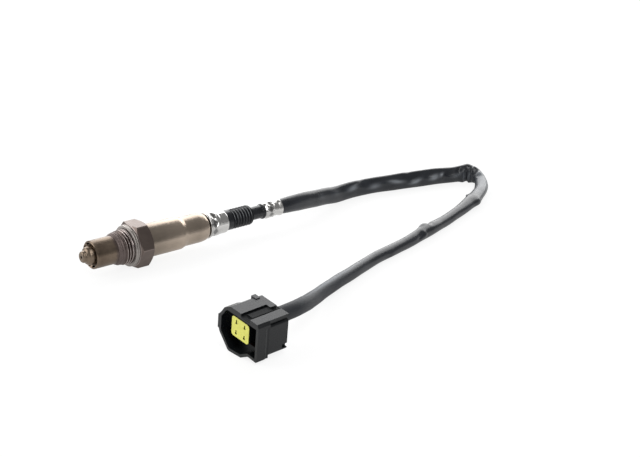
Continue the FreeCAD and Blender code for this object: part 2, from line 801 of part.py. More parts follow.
def lead_at_sensor(y, z):
    """Make a lead's end from the contact spring to the mouth of the rear collar."""
    bare = disc(barrel_rear, barrel_front - conductor_radius, conductor_radius, y, z)
    return disc(rear_collar_rear, barrel_rear, lead_radius, y, z).fuse(bare)


def lead_at_connector(y, z):
    """Make a lead's end from the sleeve to a terminal, drawn apart inside the rear cover."""
    strip = -mouth_depth - terminal_tail - terminal_crimp_length
    wide_y = math.copysign(terminal_pitch_y / 2, y)
    wide_z = math.copysign(terminal_pitch_z / 2, z)
    mouth = -body_length - cover_plate - cover_collar_length
    points = [(strip, wide_y, wide_z), (-body_length, wide_y, wide_z),
              (mouth + cover_lip / 2, y, z), (mouth, y, z)]
    path = Part.makePolygon([V(*point) for point in points])
    section = Part.Wire(Part.makeCircle(lead_radius, V(*points[0]), V(-1, 0, 0)))
    covered = path.makePipeShell([section], True, False, 2)
    bare = disc(strip, strip + terminal_crimp_length - terminal_clearance, conductor_radius, wide_y, wide_z)
    return covered.fuse(bare)


def place_connector(shape):
    """Move a connector piece from its own frame to the end of the lead's route."""
    end, before = V(*sleeve_route[-1]), V(*sleeve_route[-2])
    axis = end - before
    level = math.hypot(axis.x, axis.y)
    yaw = math.degrees(math.atan2(axis.y, axis.x))
    pitch = math.degrees(math.atan2(axis.z, level))
    mouth = body_length + cover_plate + cover_collar_length
    turn = FreeCAD.Rotation(V(0, 0, 1), yaw).multiply(FreeCAD.Rotation(V(0, 1, 0), -pitch))
    turn = turn.multiply(FreeCAD.Rotation(V(1, 0, 0), connector_lean))
    placed = shape.copy()
    placed.translate(V(mouth, 0, 0))
    placed.Placement = FreeCAD.Placement(end, turn).multiply(placed.Placement)
    return placed


def make_leads(indexes):
    """Group the two ends of the leads at the given positions."""
    places = lead_places(lead_offset, lead_offset)
    solids = []
    for index in indexes:
        y, z = places[index]
        solids.append(one_solid(lead_at_sensor(y, z)))
        solids.append(place_connector(one_solid(lead_at_connector(y, z))))
    return Part.makeCompound(solids)


def main():
    """Build every piece and write one file for each."""
    pieces = {
        "sensor_housing": make_sensor_housing(),
        "gasket_ring": make_gasket_ring(),
        "outer_protection_tube": make_outer_protection_tube(),
        "inner_protection_tube": make_inner_protection_tube(),
        "sensing_element": make_sensing_element(),
        "lower_ceramic_support": make_packing(lower_ceramic_rear, cavity_front),
        "talc_packing": make_packing(talc_rear, lower_ceramic_rear),
        "upper_ceramic_bush": make_packing(compression_front, talc_rear),
        "compression_ring": make_compression_ring(),
        "contact_holder_upper": make_contact_holder(1),
        "contact_holder_lower": make_contact_holder(-1),
        "holder_clamp": make_holder_clamp(),
        "contact_springs": make_contact_springs(),
        "heater_leads": make_leads((0, 1)),
        "signal_lead": make_leads((2,)),
        "ground_lead": make_leads((3,)),
        "wire_grommet": make_wire_grommet(),
        "upper_shell": make_upper_shell(),
        "strain_relief_boot": make_strain_relief_boot(),
        "front_crimp_collar": make_front_crimp_collar(),
        "rear_crimp_collar": make_rear_crimp_collar(),
        "cable_sleeve": make_cable_sleeve(),
        "connector_housing": place_connector(make_connector_housing()),
        "connector_insert": place_connector(make_connector_insert()),
        "connector_terminals": place_connector(make_connector_terminals()),
        "interface_seal": place_connector(make_interface_seal()),
        "wire_seals": place_connector(make_wire_seals()),
        "connector_rear_cover": place_connector(make_rear_cover()),
    }
    os.makedirs("parts", exist_ok=True)
    for name, shape in pieces.items():
        shape.exportStep(os.path.join("parts", name + ".step"))
        box = shape.BoundBox
        print("%-24s solids %d valid %s volume %8.1f  x %.1f..%.1f y %.1f..%.1f z %.1f..%.1f" % (
            name, len(shape.Solids), shape.isValid(), shape.Volume,
            box.XMin, box.XMax, box.YMin, box.YMax, box.ZMin, box.ZMax))


main()
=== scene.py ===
"""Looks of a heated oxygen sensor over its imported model: its pieces, finishes, lamps and camera."""

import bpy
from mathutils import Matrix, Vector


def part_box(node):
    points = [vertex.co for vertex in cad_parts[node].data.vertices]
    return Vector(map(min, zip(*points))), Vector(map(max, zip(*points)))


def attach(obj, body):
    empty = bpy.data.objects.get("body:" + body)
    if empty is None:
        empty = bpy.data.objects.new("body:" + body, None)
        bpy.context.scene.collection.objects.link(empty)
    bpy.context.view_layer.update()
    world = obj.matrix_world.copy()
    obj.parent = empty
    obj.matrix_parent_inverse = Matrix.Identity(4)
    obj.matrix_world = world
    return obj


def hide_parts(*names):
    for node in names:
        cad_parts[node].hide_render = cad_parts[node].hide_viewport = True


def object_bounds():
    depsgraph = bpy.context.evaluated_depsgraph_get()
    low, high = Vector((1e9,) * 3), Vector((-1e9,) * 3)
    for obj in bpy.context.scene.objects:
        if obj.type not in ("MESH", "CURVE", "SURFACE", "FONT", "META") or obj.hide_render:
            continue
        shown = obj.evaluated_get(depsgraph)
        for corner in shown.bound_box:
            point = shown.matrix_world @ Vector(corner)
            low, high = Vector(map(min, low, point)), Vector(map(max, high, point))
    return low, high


bl_info = {
    "name": "Oxygen sensor looks",
    "version": (1, 0, 0),
    "blender": (4, 5, 0),
    "location": "3D View > Sidebar > Sensor",
    "description": "Builds the visible pieces, finishes and stage of a heated oxygen sensor",
    "category": "Add Mesh",
}

import math

import bmesh
import bpy
import numpy as np
from bpy.props import FloatProperty, FloatVectorProperty, IntProperty, PointerProperty
from mathutils import Matrix, Vector

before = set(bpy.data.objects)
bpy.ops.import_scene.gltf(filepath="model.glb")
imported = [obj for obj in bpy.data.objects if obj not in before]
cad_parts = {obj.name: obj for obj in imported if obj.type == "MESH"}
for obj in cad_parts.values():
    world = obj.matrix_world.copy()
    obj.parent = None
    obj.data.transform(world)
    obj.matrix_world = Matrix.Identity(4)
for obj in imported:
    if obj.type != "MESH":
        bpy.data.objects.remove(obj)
cad_box = [list(corner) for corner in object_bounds()]

MM = 0.001
BODY = "root"

# How far the connector is turned about the end of the lead, so that it leans on its lower corner
connector_lean = math.radians(-9.26)

# Colours of wear and dirt, and of painted shade and painted highlights
soot = (0.05, 0.04, 0.035)
# Painted shade in the bottoms of the collars' crimps
crimp_dent_shade = (0.1, 0.1, 0.1)
pale_burnt_steel = (0.24, 0.195, 0.17)
worn_corner = (0.3, 0.25, 0.23)
thread_root = (0.12, 0.09, 0.08)
thread_crest = (0.5, 0.44, 0.42)
pale_paste = (0.23, 0.19, 0.18)
# Painted highlight on the sleeve
sleeve_highlight_colour = (0.2, 0.215, 0.235)
# Painted highlight on the boot's ribs
rib_highlight_colour = (0.2, 0.21, 0.22)
# Painted highlight on the connector's rail tops
rail_top_highlight = (0.022, 0.024, 0.027)
slot_shadow = (0.05, 0.045, 0.0)
white = (1.0, 1.0, 1.0)

# The camera, which stands where the photo was taken from, and the place that the lamps point at
camera_place = (0.4487, 0.7329, 0.3210)
camera_look = (-0.58215, -0.73766, -0.34202)
sensor_middle = (-0.1, 0.05, 0.0)

# Rings of points along the sleeve, and points in each
sleeve_rings = 1000
sleeve_segments = 72

# The flattened sleeve's half sizes in millimetres: place along it, across and up
sleeve_sections = [
    (0, 3.95, 3.95), (5, 4.0, 4.3), (14, 3.5, 4.75), (28, 3.0, 4.85), (60, 2.9, 4.8), (75, 2.8, 4.65),
    (96, 2.9, 4.85), (118, 2.8, 4.8), (128, 2.9, 4.6), (133, 3.2, 4.8), (137, 3.6, 5.1), (143, 3.6, 4.8),
    (147, 3.3, 4.2), (152, 3.6, 3.4), (160, 3.8, 3.1), (176, 3.8, 3.0), (186, 4.3, 3.3), (196, 3.9, 3.1),
    (214, 3.3, 2.9), (232, 3.3, 3.0), (243, 3.7, 3.5), (256, 3.5, 3.2), (270, 3.3, 3.0), (300, 3.2, 3.2),
    (345, 3.2, 3.6), (375, 3.5, 3.9), (398, 3.9, 3.9), (408, 3.9, 3.9)]

# How far the sleeve lies beside its line, in millimetres: place along it, then to the right and to the
# back as the camera sees it
sleeve_shifts = [
    (0, 0.0, 0.0), (70, 0.0, 0.0), (92, 0.0, -1.2), (130, 0.0, -1.2), (142, -0.4, 0.3), (156, -1.1, 0.9),
    (176, -1.2, 1.5), (200, -0.3, 2.2), (240, 0.0, 1.7), (300, 0.0, 1.9), (345, 0.0, 1.2),
    (380, 0.0, 0.4), (408, 0.0, 0.0)]
seen_right = (-0.785, 0.62, 0.0)
seen_back = (-0.62, -0.785, 0.0)

# The sleeve comes down to the floor between these places along it, and leaves it again between these
# distances before its end, in millimetres
sleeve_lands = (38, 66)
sleeve_lifts = (105, 45)

# Places along the sleeve between which the waves of its skin grow, and between which they die away
waves_start = (10, 30)
waves_end = (380, 400)

# Marks on the sleeve's skin: painted highlights on the lumps' crowns, along the fold and along the top, and
# the lumps themselves. The values of each are its place along the sleeve in millimetres, its degrees from
# the inner side towards the top, its half length in millimetres, its half width in radians, a painted
# highlight's strength or a lump's height in millimetres, and its slant in radians per millimetre.
painted_sleeve_highlights = [
    (31, 16, 3.0, 0.3, 0.25, 0.0), (46, 18, 3.0, 0.3, 0.25, 0.0), (60.5, 24, 3.8, 0.24, 1.1, 0.02),
    (76.5, 6, 3.6, 0.28, 0.75, 0.02), (91, 14, 4.2, 0.18, 1.1, -0.03), (103.5, -2, 3.2, 0.2, 1.3, 0.05),
    (115.5, 8, 2.6, 0.28, 1.3, 0.05), (120, 20, 1.2, 0.2, 0.9, 0.1), (130, 6, 3.0, 0.22, 0.6, 0.03),
    (135.5, -10, 0.9, 0.5, 0.7, 0.0), (141.0, 0, 0.7, 0.5, 0.6, 0.1), (149.5, 100, 2.2, 0.7, 0.7, 0.0),
    (156, 110, 6.0, 1.1, 0.9, 0.0), (167, 110, 8.0, 1.0, 0.8, 0.0), (178, 100, 4.0, 0.9, 0.4, 0.0),
    (345, 96, 34.0, 0.35, 1.1, 0.0)]
sleeve_lumps = [
    (31, 18, 5.0, 0.5, 0.35, 0.0), (47, 20, 5.0, 0.5, 0.4, 0.0), (61.5, 26, 5.0, 0.5, 0.9, 0.03),
    (77.5, 8, 5.0, 0.5, 0.75, 0.03), (91, 20, 5.0, 0.45, 1.0, 0.02), (103.5, 2, 4.6, 0.42, 1.15, 0.05),
    (116, 12, 4.2, 0.5, 1.1, 0.03), (121, 18, 1.8, 0.4, 0.8, 0.1), (129, 8, 4.4, 0.45, 0.7, 0.03),
    (100, 90, 2.0, 0.6, -0.3, 0.0), (69, 88, 2.2, 0.6, -0.35, 0.0),
    (131.5, 40, 1.6, 0.6, -0.7, 0.1), (134.5, -35, 1.8, 0.7, 1.0, 0.0), (137.0, 10, 1.3, 0.8, -0.9, 0.0),
    (140.0, -30, 1.6, 0.7, 1.2, 0.0), (141.8, 30, 1.0, 0.6, -0.9, 0.1), (143.6, 75, 1.3, 0.6, 0.7, 0.0),
    (146.2, 60, 1.3, 0.8, -1.1, 0.0), (137.5, 95, 2.2, 0.8, 0.5, 0.0), (146.8, -30, 1.4, 0.6, -0.8, 0.0),
    (149.5, 90, 2.0, 0.9, 0.5, 0.0), (189, 185, 4.0, 0.7, 1.1, 0.0), (183, 20, 1.2, 0.35, 0.9, 0.0),
    (186, 20, 1.0, 0.35, -0.6, 0.0), (246, 55, 3.2, 0.6, 1.0, 0.0), (240.5, 75, 1.8, 0.8, -0.9, 0.15),
    (252, 170, 1.6, 0.5, 0.5, 0.0), (256, 165, 3.0, 0.5, -0.6, 0.05), (283, 200, 3.0, 0.5, 0.4, 0.0)]

# Stations and radii along the sensor's axis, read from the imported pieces
gasket_low, gasket_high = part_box("gasket_ring")
shell_low, shell_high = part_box("upper_shell")
outer_tube_low, outer_tube_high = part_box("outer_protection_tube")
inner_tube_low, inner_tube_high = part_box("inner_protection_tube")
housing_low, housing_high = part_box("sensor_housing")
boot_low, boot_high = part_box("strain_relief_boot")
front_collar_low, front_collar_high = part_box("front_crimp_collar")
rear_collar_low, rear_collar_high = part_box("rear_crimp_collar")
floor_height = cad_box[0][2]
hexagon_front = gasket_low.x
hexagon_rear = shell_high.x
hexagon_flat = housing_high.z
hexagon_corner = hexagon_flat / math.cos(math.pi / 6)
thread_face = outer_tube_low.x

# The crimped bands of the two collars: middle, half length and radius
front_band = (front_collar_high.x - 3.2 * MM, 2.0 * MM, 6.4 * MM)
rear_band = (rear_collar_high.x - 3.4 * MM, 2.2 * MM, 4.35 * MM)

# The lead's route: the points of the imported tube's route, in metres
sleeve_route = [
    (-0.1013, 0.0, 0.0),
    (-0.1135, 0.0, 0.0),
    (-0.132, -0.0053, -0.003),
    (-0.156, -0.0126, -0.0066),
    (-0.178, -0.0114, -0.0066),
    (-0.203, -0.0054, -0.0066),
    (-0.222, 0.0002, -0.0066),
    (-0.235, 0.0056, -0.0066),
    (-0.2352, 0.0175, -0.0066),
    (-0.2245, 0.0305, -0.0066),
    (-0.2065, 0.0423, -0.0066),
    (-0.183, 0.0524, -0.0066),
    (-0.157, 0.062, -0.0066),
    (-0.13, 0.0706, -0.0066),
    (-0.104, 0.0774, -0.0066),
    (-0.081, 0.0866, -0.0066),
    (-0.061, 0.0952, -0.0064),
    (-0.045, 0.1046, -0.0046),
    (-0.033, 0.114, -0.0012),
    (-0.023, 0.1218, 0.002),
    (-0.0137, 0.1257, 0.0032),
    (-0.0047, 0.1261, 0.0028),
]


def length_property(name, description, millimetres):
    """Make a length that a user can change, given in millimetres."""
    return FloatProperty(name=name, description=description, default=millimetres * MM, min=0.0,
                         precision=5, unit="LENGTH")


def colour_property(name, description, red, green, blue):
    """Make a colour that a user can change."""
    return FloatVectorProperty(name=name, description=description, default=(red, green, blue),
                               min=0.0, max=1.0, subtype="COLOR")


def power_property(name, description, watts):
    """Make a lamp's power that a user can change."""
    return FloatProperty(name=name, description=description, default=watts, min=0.0, unit="POWER")


def factor_property(name, description, factor):
    """Make a scale or a strength that a user can change."""
    return FloatProperty(name=name, description=description, default=factor, min=0.0, subtype="FACTOR")


class SensorSizes(bpy.types.PropertyGroup):
    """Sizes of the details that the looks add to the sensor."""

    thread_pitch: length_property("Thread pitch", "Distance between two turns of the thread", 1.5)
    thread_radius: length_property("Thread radius", "Radius at the thread's crests", 9.0)
    thread_depth: length_property("Thread depth", "Height of the thread's turns", 0.92)
    hexagon_edge: length_property("Hexagon edge", "Rounding of the hexagon's corners", 0.35)
    boot_radius: length_property("Boot radius", "Radius over the boot's ribs", 5.35)
    boot_groove: length_property("Boot groove", "Depth of the grooves between the ribs", 0.9)
    boot_pitch: length_property("Boot pitch", "Distance between two ribs of the boot", 1.8)
    crimp_count: IntProperty(name="Crimps", description="Number of crimps round a collar", default=8, min=3)


class LeadSizes(bpy.types.PropertyGroup):
    """Sizes of the sleeved lead."""

    diameter: length_property("Diameter", "Width of a round tube with the sleeve's own girth", 8.8)
    length: length_property("Length", "Length from the rear collar to the connector", 407)
    girth: factor_property("Girth", "Scale of the sleeve's cross sections", 1.0)
    settling: factor_property("Settling", "Scale of the sleeve's shift beside its line", 1.0)


class FinishColours(bpy.types.PropertyGroup):
    """Main colour of each finish."""

    bronze: colour_property("Bronze tint", "Heat-tinted steel of the shell", 0.42, 0.35, 0.285)
    burnt: colour_property("Burnt steel", "Darkened steel of the hexagon", 0.14, 0.11, 0.098)
    paste: colour_property("Thread paste", "Dried paste on the first turns of the thread", 0.13, 0.1, 0.092)
    bright: colour_property("Bright steel", "Steel of the collars", 0.8, 0.79, 0.77)
    rubber: colour_property("Boot rubber", "Black rubber of the boot", 0.005, 0.006, 0.008)
    sleeve: colour_property("Sleeve", "Dark sleeve of the lead", 0.011, 0.013, 0.017)
    moulding: colour_property("Connector moulding", "Black plastic of the connector", 0.004, 0.005, 0.006)
    keeper: colour_property("Keeper", "Yellow plastic of the terminal keeper", 0.82, 0.79, 0.15)
    floor: colour_property("Floor", "Pale floor", 0.96, 0.96, 0.96)


class StageSettings(bpy.types.PropertyGroup):
    """Strengths of the lamps and the camera's lens."""

    lens: FloatProperty(name="Lens", description="Focal length in millimetres", default=101.25, min=1.0,
                        unit="CAMERA")
    overhead: power_property("Overhead lamp", "Power of the overhead lamp", 3.4)
    back: power_property("Back lamp", "Power of the lamp behind the sensor", 13.0)
    side: power_property("Side lamp", "Power of the lamp at the nose's side", 3.2)
    ambient: factor_property("Ambient", "Strength of the surrounding light", 0.24)


class Field:
    """A socket of a node tree; Python arithmetic on it adds the Math nodes."""

    def __init__(self, tree, socket):
        self.tree = tree
        self.socket = socket

    def maths(self, operation, *terms):
        """Add a Math node and return its result."""
        made = self.tree.node("ShaderNodeMath", {"operation": operation}, dict(enumerate(terms)))
        return self.tree.out(made)

    def __add__(self, other):
        return self.maths("ADD", self, other)

    def __radd__(self, other):
        return self.maths("ADD", other, self)

    def __sub__(self, other):
        return self.maths("SUBTRACT", self, other)

    def __rsub__(self, other):
        return self.maths("SUBTRACT", other, self)

    def __mul__(self, other):
        return self.maths("MULTIPLY", self, other)

    def __rmul__(self, other):
        return self.maths("MULTIPLY", other, self)

    def __truediv__(self, other):
        return self.maths("DIVIDE", self, other)

    def __rtruediv__(self, other):
        return self.maths("DIVIDE", other, self)

    def __pow__(self, other):
        return self.maths("POWER", self, other)

    def __abs__(self):
        return self.maths("ABSOLUTE", self)

    def clamped(self):
        """Keep the value between 0 and 1."""
        return self.maths("MINIMUM", self.maths("MAXIMUM", self, 0.0), 1.0)

    def fraction(self):
        """Keep what is left after whole numbers, always 0 or more."""
        return self.maths("FLOORED_MODULO", self, 1.0)

    def cosine(self):
        """Take the cosine of an angle in radians."""
        return self.maths("COSINE", self)

    def sine(self):
        """Take the sine of an angle in radians."""
        return self.maths("SINE", self)

    def step_up(self, low, high):
        """Rise smoothly from 0 at low to 1 at high."""
        made = self.tree.node("ShaderNodeMapRange", {"interpolation_type": "SMOOTHSTEP"},
                              {"Value": self, "From Min": low, "From Max": high})
        return self.tree.out(made)


class Tree:
    """A node tree to which one method adds any node."""

    def __init__(self, nodes_and_links):
        self.data = nodes_and_links

    def out(self, node, socket=0):
        """Wrap an output socket of a node."""
        return Field(self, node.outputs[socket])

    def plug(self, socket, value):
        """Link a field to a socket, or set the socket's own value."""
        if isinstance(value, Field):
            self.data.links.new(value.socket, socket)
        else:
            socket.default_value = value

    def node(self, kind, settings=None, sockets=None):
        """Add a node, make its settings, then fill its sockets."""
        made = self.data.nodes.new(kind)
        for name, value in (settings or {}).items():
            if name == "stops":
                self.set_stops(made.color_ramp, value)
            else:
                setattr(made, name, value)
        for name, value in (sockets or {}).items():
            self.plug(made.inputs[name], value)
        return made

    def set_stops(self, ramp, stops):
        """Give a colour ramp its stops of (place, colour)."""
        while len(ramp.elements) < len(stops):
            ramp.elements.new(0.5)
        for element, (place, colour) in zip(ramp.elements, stops):
            element.position = place
            element.color = (*colour, 1.0)

    def position(self):
        """Read the place on the piece in millimetres, as x, y and z."""
        coordinates = self.node("ShaderNodeTexCoord")
        split = self.node("ShaderNodeSeparateXYZ", None, {0: self.out(coordinates, "Object")})
        return [self.out(split, index) * (1.0 / MM) for index in range(3)]

    def joined(self, x, y, z):
        """Join three values into a vector."""
        return self.out(self.node("ShaderNodeCombineXYZ", None, {0: x, 1: y, 2: z}))

    def grain(self, vector, scale, detail=3.0, roughness=0.55):
        """Sample a noise pattern, as a value from 0 to 1."""
        made = self.node("ShaderNodeTexNoise", {"noise_dimensions": "3D"},
                         {"Vector": vector, "Scale": scale, "Detail": detail, "Roughness": roughness})
        return self.out(made)

    def blend(self, factor, first, second):
        """Mix two colours."""
        made = self.node("ShaderNodeMix", {"data_type": "RGBA"}, {0: factor, 6: first, 7: second})
        return self.out(made, 2)

    def bump(self, height, strength, distance):
        """Turn a height in millimetres into a surface direction."""
        made = self.node("ShaderNodeBump", None,
                         {"Strength": strength, "Distance": distance * MM, "Height": height})
        return self.out(made)


def opaque(colour):
    """Add full opacity to a colour."""
    return (*colour, 1.0)


def new_finish(name, **constants):
    """Start a material and return it with its tree and its shader node."""
    material = bpy.data.materials.new(name)
    material.use_nodes = True
    material.node_tree.nodes.clear()
    tree = Tree(material.node_tree)
    shader = tree.node("ShaderNodeBsdfPrincipled", None,
                       {key.replace("_", " "): value for key, value in constants.items()})
    tree.node("ShaderNodeOutputMaterial", None, {"Surface": tree.out(shader)})
    return material, tree, shader


def polar(y, z):
    """Give the distance from the sensor's axis and the angle about it."""
    return (y * y + z * z) ** 0.5, z.maths("ARCTAN2", z, y)


def about_axis(tree):
    """Read a place in millimetres as x, y, z, distance from the sensor's axis and angle about it."""
    x, y, z = tree.position()
    return (x, y, z, *polar(y, z))


def reach(place, direction):
    """Measure how far a place lies along a direction."""
    x, y, z = place[:3]
    return x * direction.x + y * direction.y + z * direction.z


def own_marks(over, tree, place, grain, colour):
    """Ask a piece's own rule, if it has one, for its colour by place and what that adds to the roughness."""
    return (colour, 0.0) if over is None else over(tree, place, grain, colour)


def drawn_steel(name, tints, roughness, streak, over=None):
    """Make steel that was drawn or turned: (place, colour) tints along the axis, fine rings and streaks."""
    material, tree, shader = new_finish(name, Metallic=1.0)
    place = about_axis(tree)
    x, y, z, radius, angle = place
    first, last = tints[0][0], tints[-1][0]
    along = tree.out(tree.node("ShaderNodeMapRange", None,
                               {"Value": x, "From Min": first, "From Max": last}))
    stops = [((station - first) / (last - first), colour) for station, colour in tints]
    cloudy = tree.grain(tree.joined(x, y, z), scale=0.16, detail=4.0)
    ramp = tree.node("ShaderNodeValToRGB", {"stops": stops}, {0: along + (cloudy - 0.5) * 0.22})
    rings = tree.grain(tree.joined(x * 9.0, radius * 2.0, angle * 0.6), scale=1.0, detail=2.0)
    marks = tree.grain(tree.joined(x * 0.5, y, z), scale=0.7, detail=5.0, roughness=0.7)
    shade_of_marks = (0.92 + (rings - 0.5) * 0.14 + (marks - 0.5) * streak).clamped()
    colour = tree.blend(shade_of_marks, opaque(soot), tree.out(ramp))
    colour, duller = own_marks(over, tree, place, marks, colour)
    tree.plug(shader.inputs["Base Color"], colour)
    tree.plug(shader.inputs["Roughness"], (roughness + duller + (marks - 0.5) * streak * 0.35).clamped())
    tree.plug(shader.inputs["Normal"], tree.bump(rings + marks * 0.3, strength=0.05, distance=0.04))
    return material


def shell_finish(colours):
    """Make the bronze heat tint of the upper shell."""
    warm = tuple(colours.bronze)
    pale = tuple(min(1.0, part * 1.35) for part in warm)
    deep = tuple(part * 0.72 for part in warm)
    tints = [(-52, pale), (-44, warm), (-34, pale), (-24, warm), (-12, deep)]
    return drawn_steel("bronze_tinted_steel", tints, roughness=0.3, streak=0.2)


def nose_finish(colours):
    """Make the darker, browner tint of the protection tubes."""
    red, green, blue = colours.bronze
    warm = (red * 0.54, green * 0.5, blue * 0.46)
    deep = (red * 0.4, green * 0.36, blue * 0.33)
    smear_starts, smear_ends, smear_wander = 4.6, 6.9, 4.0

    def smeared(tree, place, marks, colour):
        """Carry the thread's paste a little way on to the tube."""
        x = place[0]
        uneven = x + (marks - 0.5) * smear_wander
        pasted = 1.0 - uneven.step_up(smear_starts, smear_ends)
        return tree.blend(pasted * 0.85, colour, opaque(colours.paste)), 0.0

    tints = [(3, warm), (9, warm), (15, deep), (18, warm), (23, warm)]
    return drawn_steel("brown_tinted_steel", tints, roughness=0.34, streak=0.6, over=smeared)


def collar_finish(colours):
    """Make the bright steel of the collars."""
    bright = tuple(colours.bright)
    dull = tuple(part * 0.8 for part in bright)
    fade = 0.4

    def shaded_dents(tree, place, marks, colour):
        """Paint shade into the bottoms of the crimps."""
        x, _, _, radius, _ = place
        deep = 0.0
        for middle, half, outer in (front_band, rear_band):
            low = (middle - half) / MM - 0.2
            high = (middle + half) / MM - 0.1
            on_band = x.step_up(low, low + fade) * (1.0 - x.step_up(high - fade, high))
            deep = deep + (outer / MM - radius).step_up(0.05, 0.35) * on_band
        # Painted shade: the crimps' dents darker towards their bottoms
        return tree.blend((deep * 0.7).clamped(), colour, opaque(crimp_dent_shade)), 0.0

    tints = [(-102, bright), (-90, dull), (-64, bright), (-52, dull)]
    return drawn_steel("bright_collar_steel", tints, roughness=0.2, streak=0.3, over=shaded_dents)


def gasket_finish():
    """Make the dull grey of the sealing ring."""
    tints = [(-7, (0.4, 0.37, 0.34)), (-3, (0.42, 0.39, 0.37))]
    return drawn_steel("gasket_grey_steel", tints, roughness=0.4, streak=0.5)


def housing_finish(colours, thread_radius):
    """Make the darkened hexagon and the thread with dried paste on its first turns."""
    material, tree, shader = new_finish("burnt_housing_steel", Metallic=0.92)
    x, y, z, radius, _ = about_axis(tree)
    spot = tree.joined(x, y, z)
    cloudy = tree.grain(spot, scale=0.22, detail=4.0)
    fine = tree.grain(spot, scale=2.4, detail=4.0, roughness=0.65)
    corner = radius.step_up(hexagon_corner / MM - 0.4, hexagon_corner / MM - 0.05)
    body = tree.blend((cloudy * 0.9 - 0.2).clamped(), opaque(colours.burnt), opaque(pale_burnt_steel))
    body = tree.blend((corner * fine * 1.2).clamped(), body, opaque(worn_corner))
    crest = radius.step_up(thread_radius / MM - 0.28, thread_radius / MM - 0.05)
    steel = tree.blend(crest, opaque(thread_root), opaque(thread_crest))
    paste_starts, paste_ends, paste_wander = -0.6, 1.4, 3.0
    pasted = (x + (cloudy - 0.5) * paste_wander).step_up(paste_starts, paste_ends)
    paste = tree.blend(fine, opaque(colours.paste), opaque(pale_paste))
    thread = tree.blend(pasted * 0.85, steel, paste)
    on_hexagon = 1.0 - x.step_up(hexagon_front / MM - 0.2, hexagon_front / MM)
    roughness = 0.34 + (fine - 0.5) * 0.3 + pasted * (1.0 - on_hexagon) * 0.2
    tree.plug(shader.inputs["Base Color"], tree.blend(on_hexagon, thread, body))
    tree.plug(shader.inputs["Roughness"], roughness.clamped())
    tree.plug(shader.inputs["Normal"], tree.bump(fine + cloudy, strength=0.25, distance=0.08))
    return material


def rubber_finish(name, colour, roughness, weave, over=None):
    """Make a rubber or a sleeve with a soft bloom and a fine grain."""
    material, tree, shader = new_finish(name, Metallic=0.0)
    place = about_axis(tree)
    spot = tree.joined(*place[:3])
    bloom = tree.grain(spot, scale=0.12, detail=3.0)
    fine = tree.grain(spot, scale=3.0, detail=3.0, roughness=0.6)
    light = tuple(min(1.0, part * 2.0 + 0.006) for part in colour)
    skin = tree.blend((bloom * 1.3 - 0.3).clamped(), opaque(colour), opaque(light))
    skin, duller = own_marks(over, tree, place, fine, skin)
    uneven = (fine - 0.5) * 0.12 + (bloom - 0.5) * 0.1
    tree.plug(shader.inputs["Base Color"], skin)
    tree.plug(shader.inputs["Roughness"], (roughness + duller + uneven).clamped())
    tree.plug(shader.inputs["Normal"], tree.bump(fine, strength=weave, distance=0.06))
    return material


def moulding_finish(name, colour, roughness, over=None):
    """Make a moulded plastic with a spark texture."""
    material, tree, shader = new_finish(name, Metallic=0.0, Specular_IOR_Level=0.38)
    place = tree.position()
    spot = tree.joined(*place)
    flow = tree.grain(spot, scale=0.18, detail=3.0)
    spark = tree.grain(spot, scale=5.0, detail=2.0, roughness=0.5)
    light = tuple(min(1.0, part * 1.35 + 0.003) for part in colour)
    skin = tree.blend((flow * 1.2 - 0.1).clamped(), opaque(colour), opaque(light))
    skin, duller = own_marks(over, tree, place, flow, skin)
    tree.plug(shader.inputs["Base Color"], skin)
    tree.plug(shader.inputs["Roughness"], (roughness + duller + (spark - 0.5) * 0.16).clamped())
    tree.plug(shader.inputs["Normal"], tree.bump(spark, strength=0.12, distance=0.04))
    return material


def new_piece(name, mesh):
    """Link a mesh as an object at the origin."""
    piece = bpy.data.objects.new(name, mesh)
    bpy.context.scene.collection.objects.link(piece)
    return piece


def settle(piece, material, slot, *nodes):
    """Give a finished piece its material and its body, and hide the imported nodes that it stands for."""
    piece.data.materials.clear()
    piece.data.materials.append(material)
    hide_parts(*nodes)
    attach(piece, BODY)


def shade(mesh, degrees):
    """Shade a mesh smooth, with edges sharper than an angle left crisp."""
    mesh.polygons.foreach_set("use_smooth", [True] * len(mesh.polygons))
    mesh.set_sharp_from_angle(angle=math.radians(degrees))


def ring_faces(rings, segments, closed):
    """List the faces between neighbouring rings of points; closed also joins the last ring to the first."""
    pairs = [(ring, ring + 1) for ring in range(rings - 1)]
    if closed:
        pairs.append((rings - 1, 0))
    faces = []
    for ring, following in pairs:
        for index in range(segments):
            beside = (index + 1) % segments
            faces.append((ring * segments + index, following * segments + index,
                          following * segments + beside, ring * segments + beside))
    return faces


def turned(name, outline, segments, sharp, rule=None):
    """Turn a closed outline of (x, radius) in metres about the sensor's axis.

    Where the outline's radius is None, rule(x, angles) gives it.
    """
    angles = np.linspace(0.0, 2 * math.pi, segments, endpoint=False)
    rings = []
    for x, radius in outline:
        radii = np.broadcast_to(rule(x, angles) if radius is None else radius, angles.shape)
        rings.append(np.column_stack([np.full(segments, x), radii * np.cos(angles), radii * np.sin(angles)]))
    mesh = bpy.data.meshes.new(name)
    mesh.from_pydata(np.vstack(rings).tolist(), [], ring_faces(len(outline), segments, True))
    tidy(mesh)
    shade(mesh, sharp)
    return mesh


def tidy(mesh, distance=1e-7, flatness=None):
    """Merge doubled points, join faces that lie flat together if asked, and point every face outwards."""
    working = bmesh.new()
    working.from_mesh(mesh)
    bmesh.ops.remove_doubles(working, verts=working.verts, dist=distance)
    if flatness is not None:
        bmesh.ops.dissolve_limit(working, angle_limit=flatness, verts=working.verts, edges=working.edges)
    bmesh.ops.recalc_face_normals(working, faces=working.faces)
    working.to_mesh(mesh)
    working.free()


def dense(corners, spacing):
    """Add points to the long runs of an outline, so that a rule can shape it."""
    outline = []
    for (x, radius), (next_x, next_radius) in zip(corners, corners[1:] + corners[:1]):
        steps = max(1, round(math.hypot(next_x - x, next_radius - radius) / spacing))
        for step in range(steps):
            share = step / steps
            outline.append((x + (next_x - x) * share, radius + (next_radius - radius) * share))
    return outline


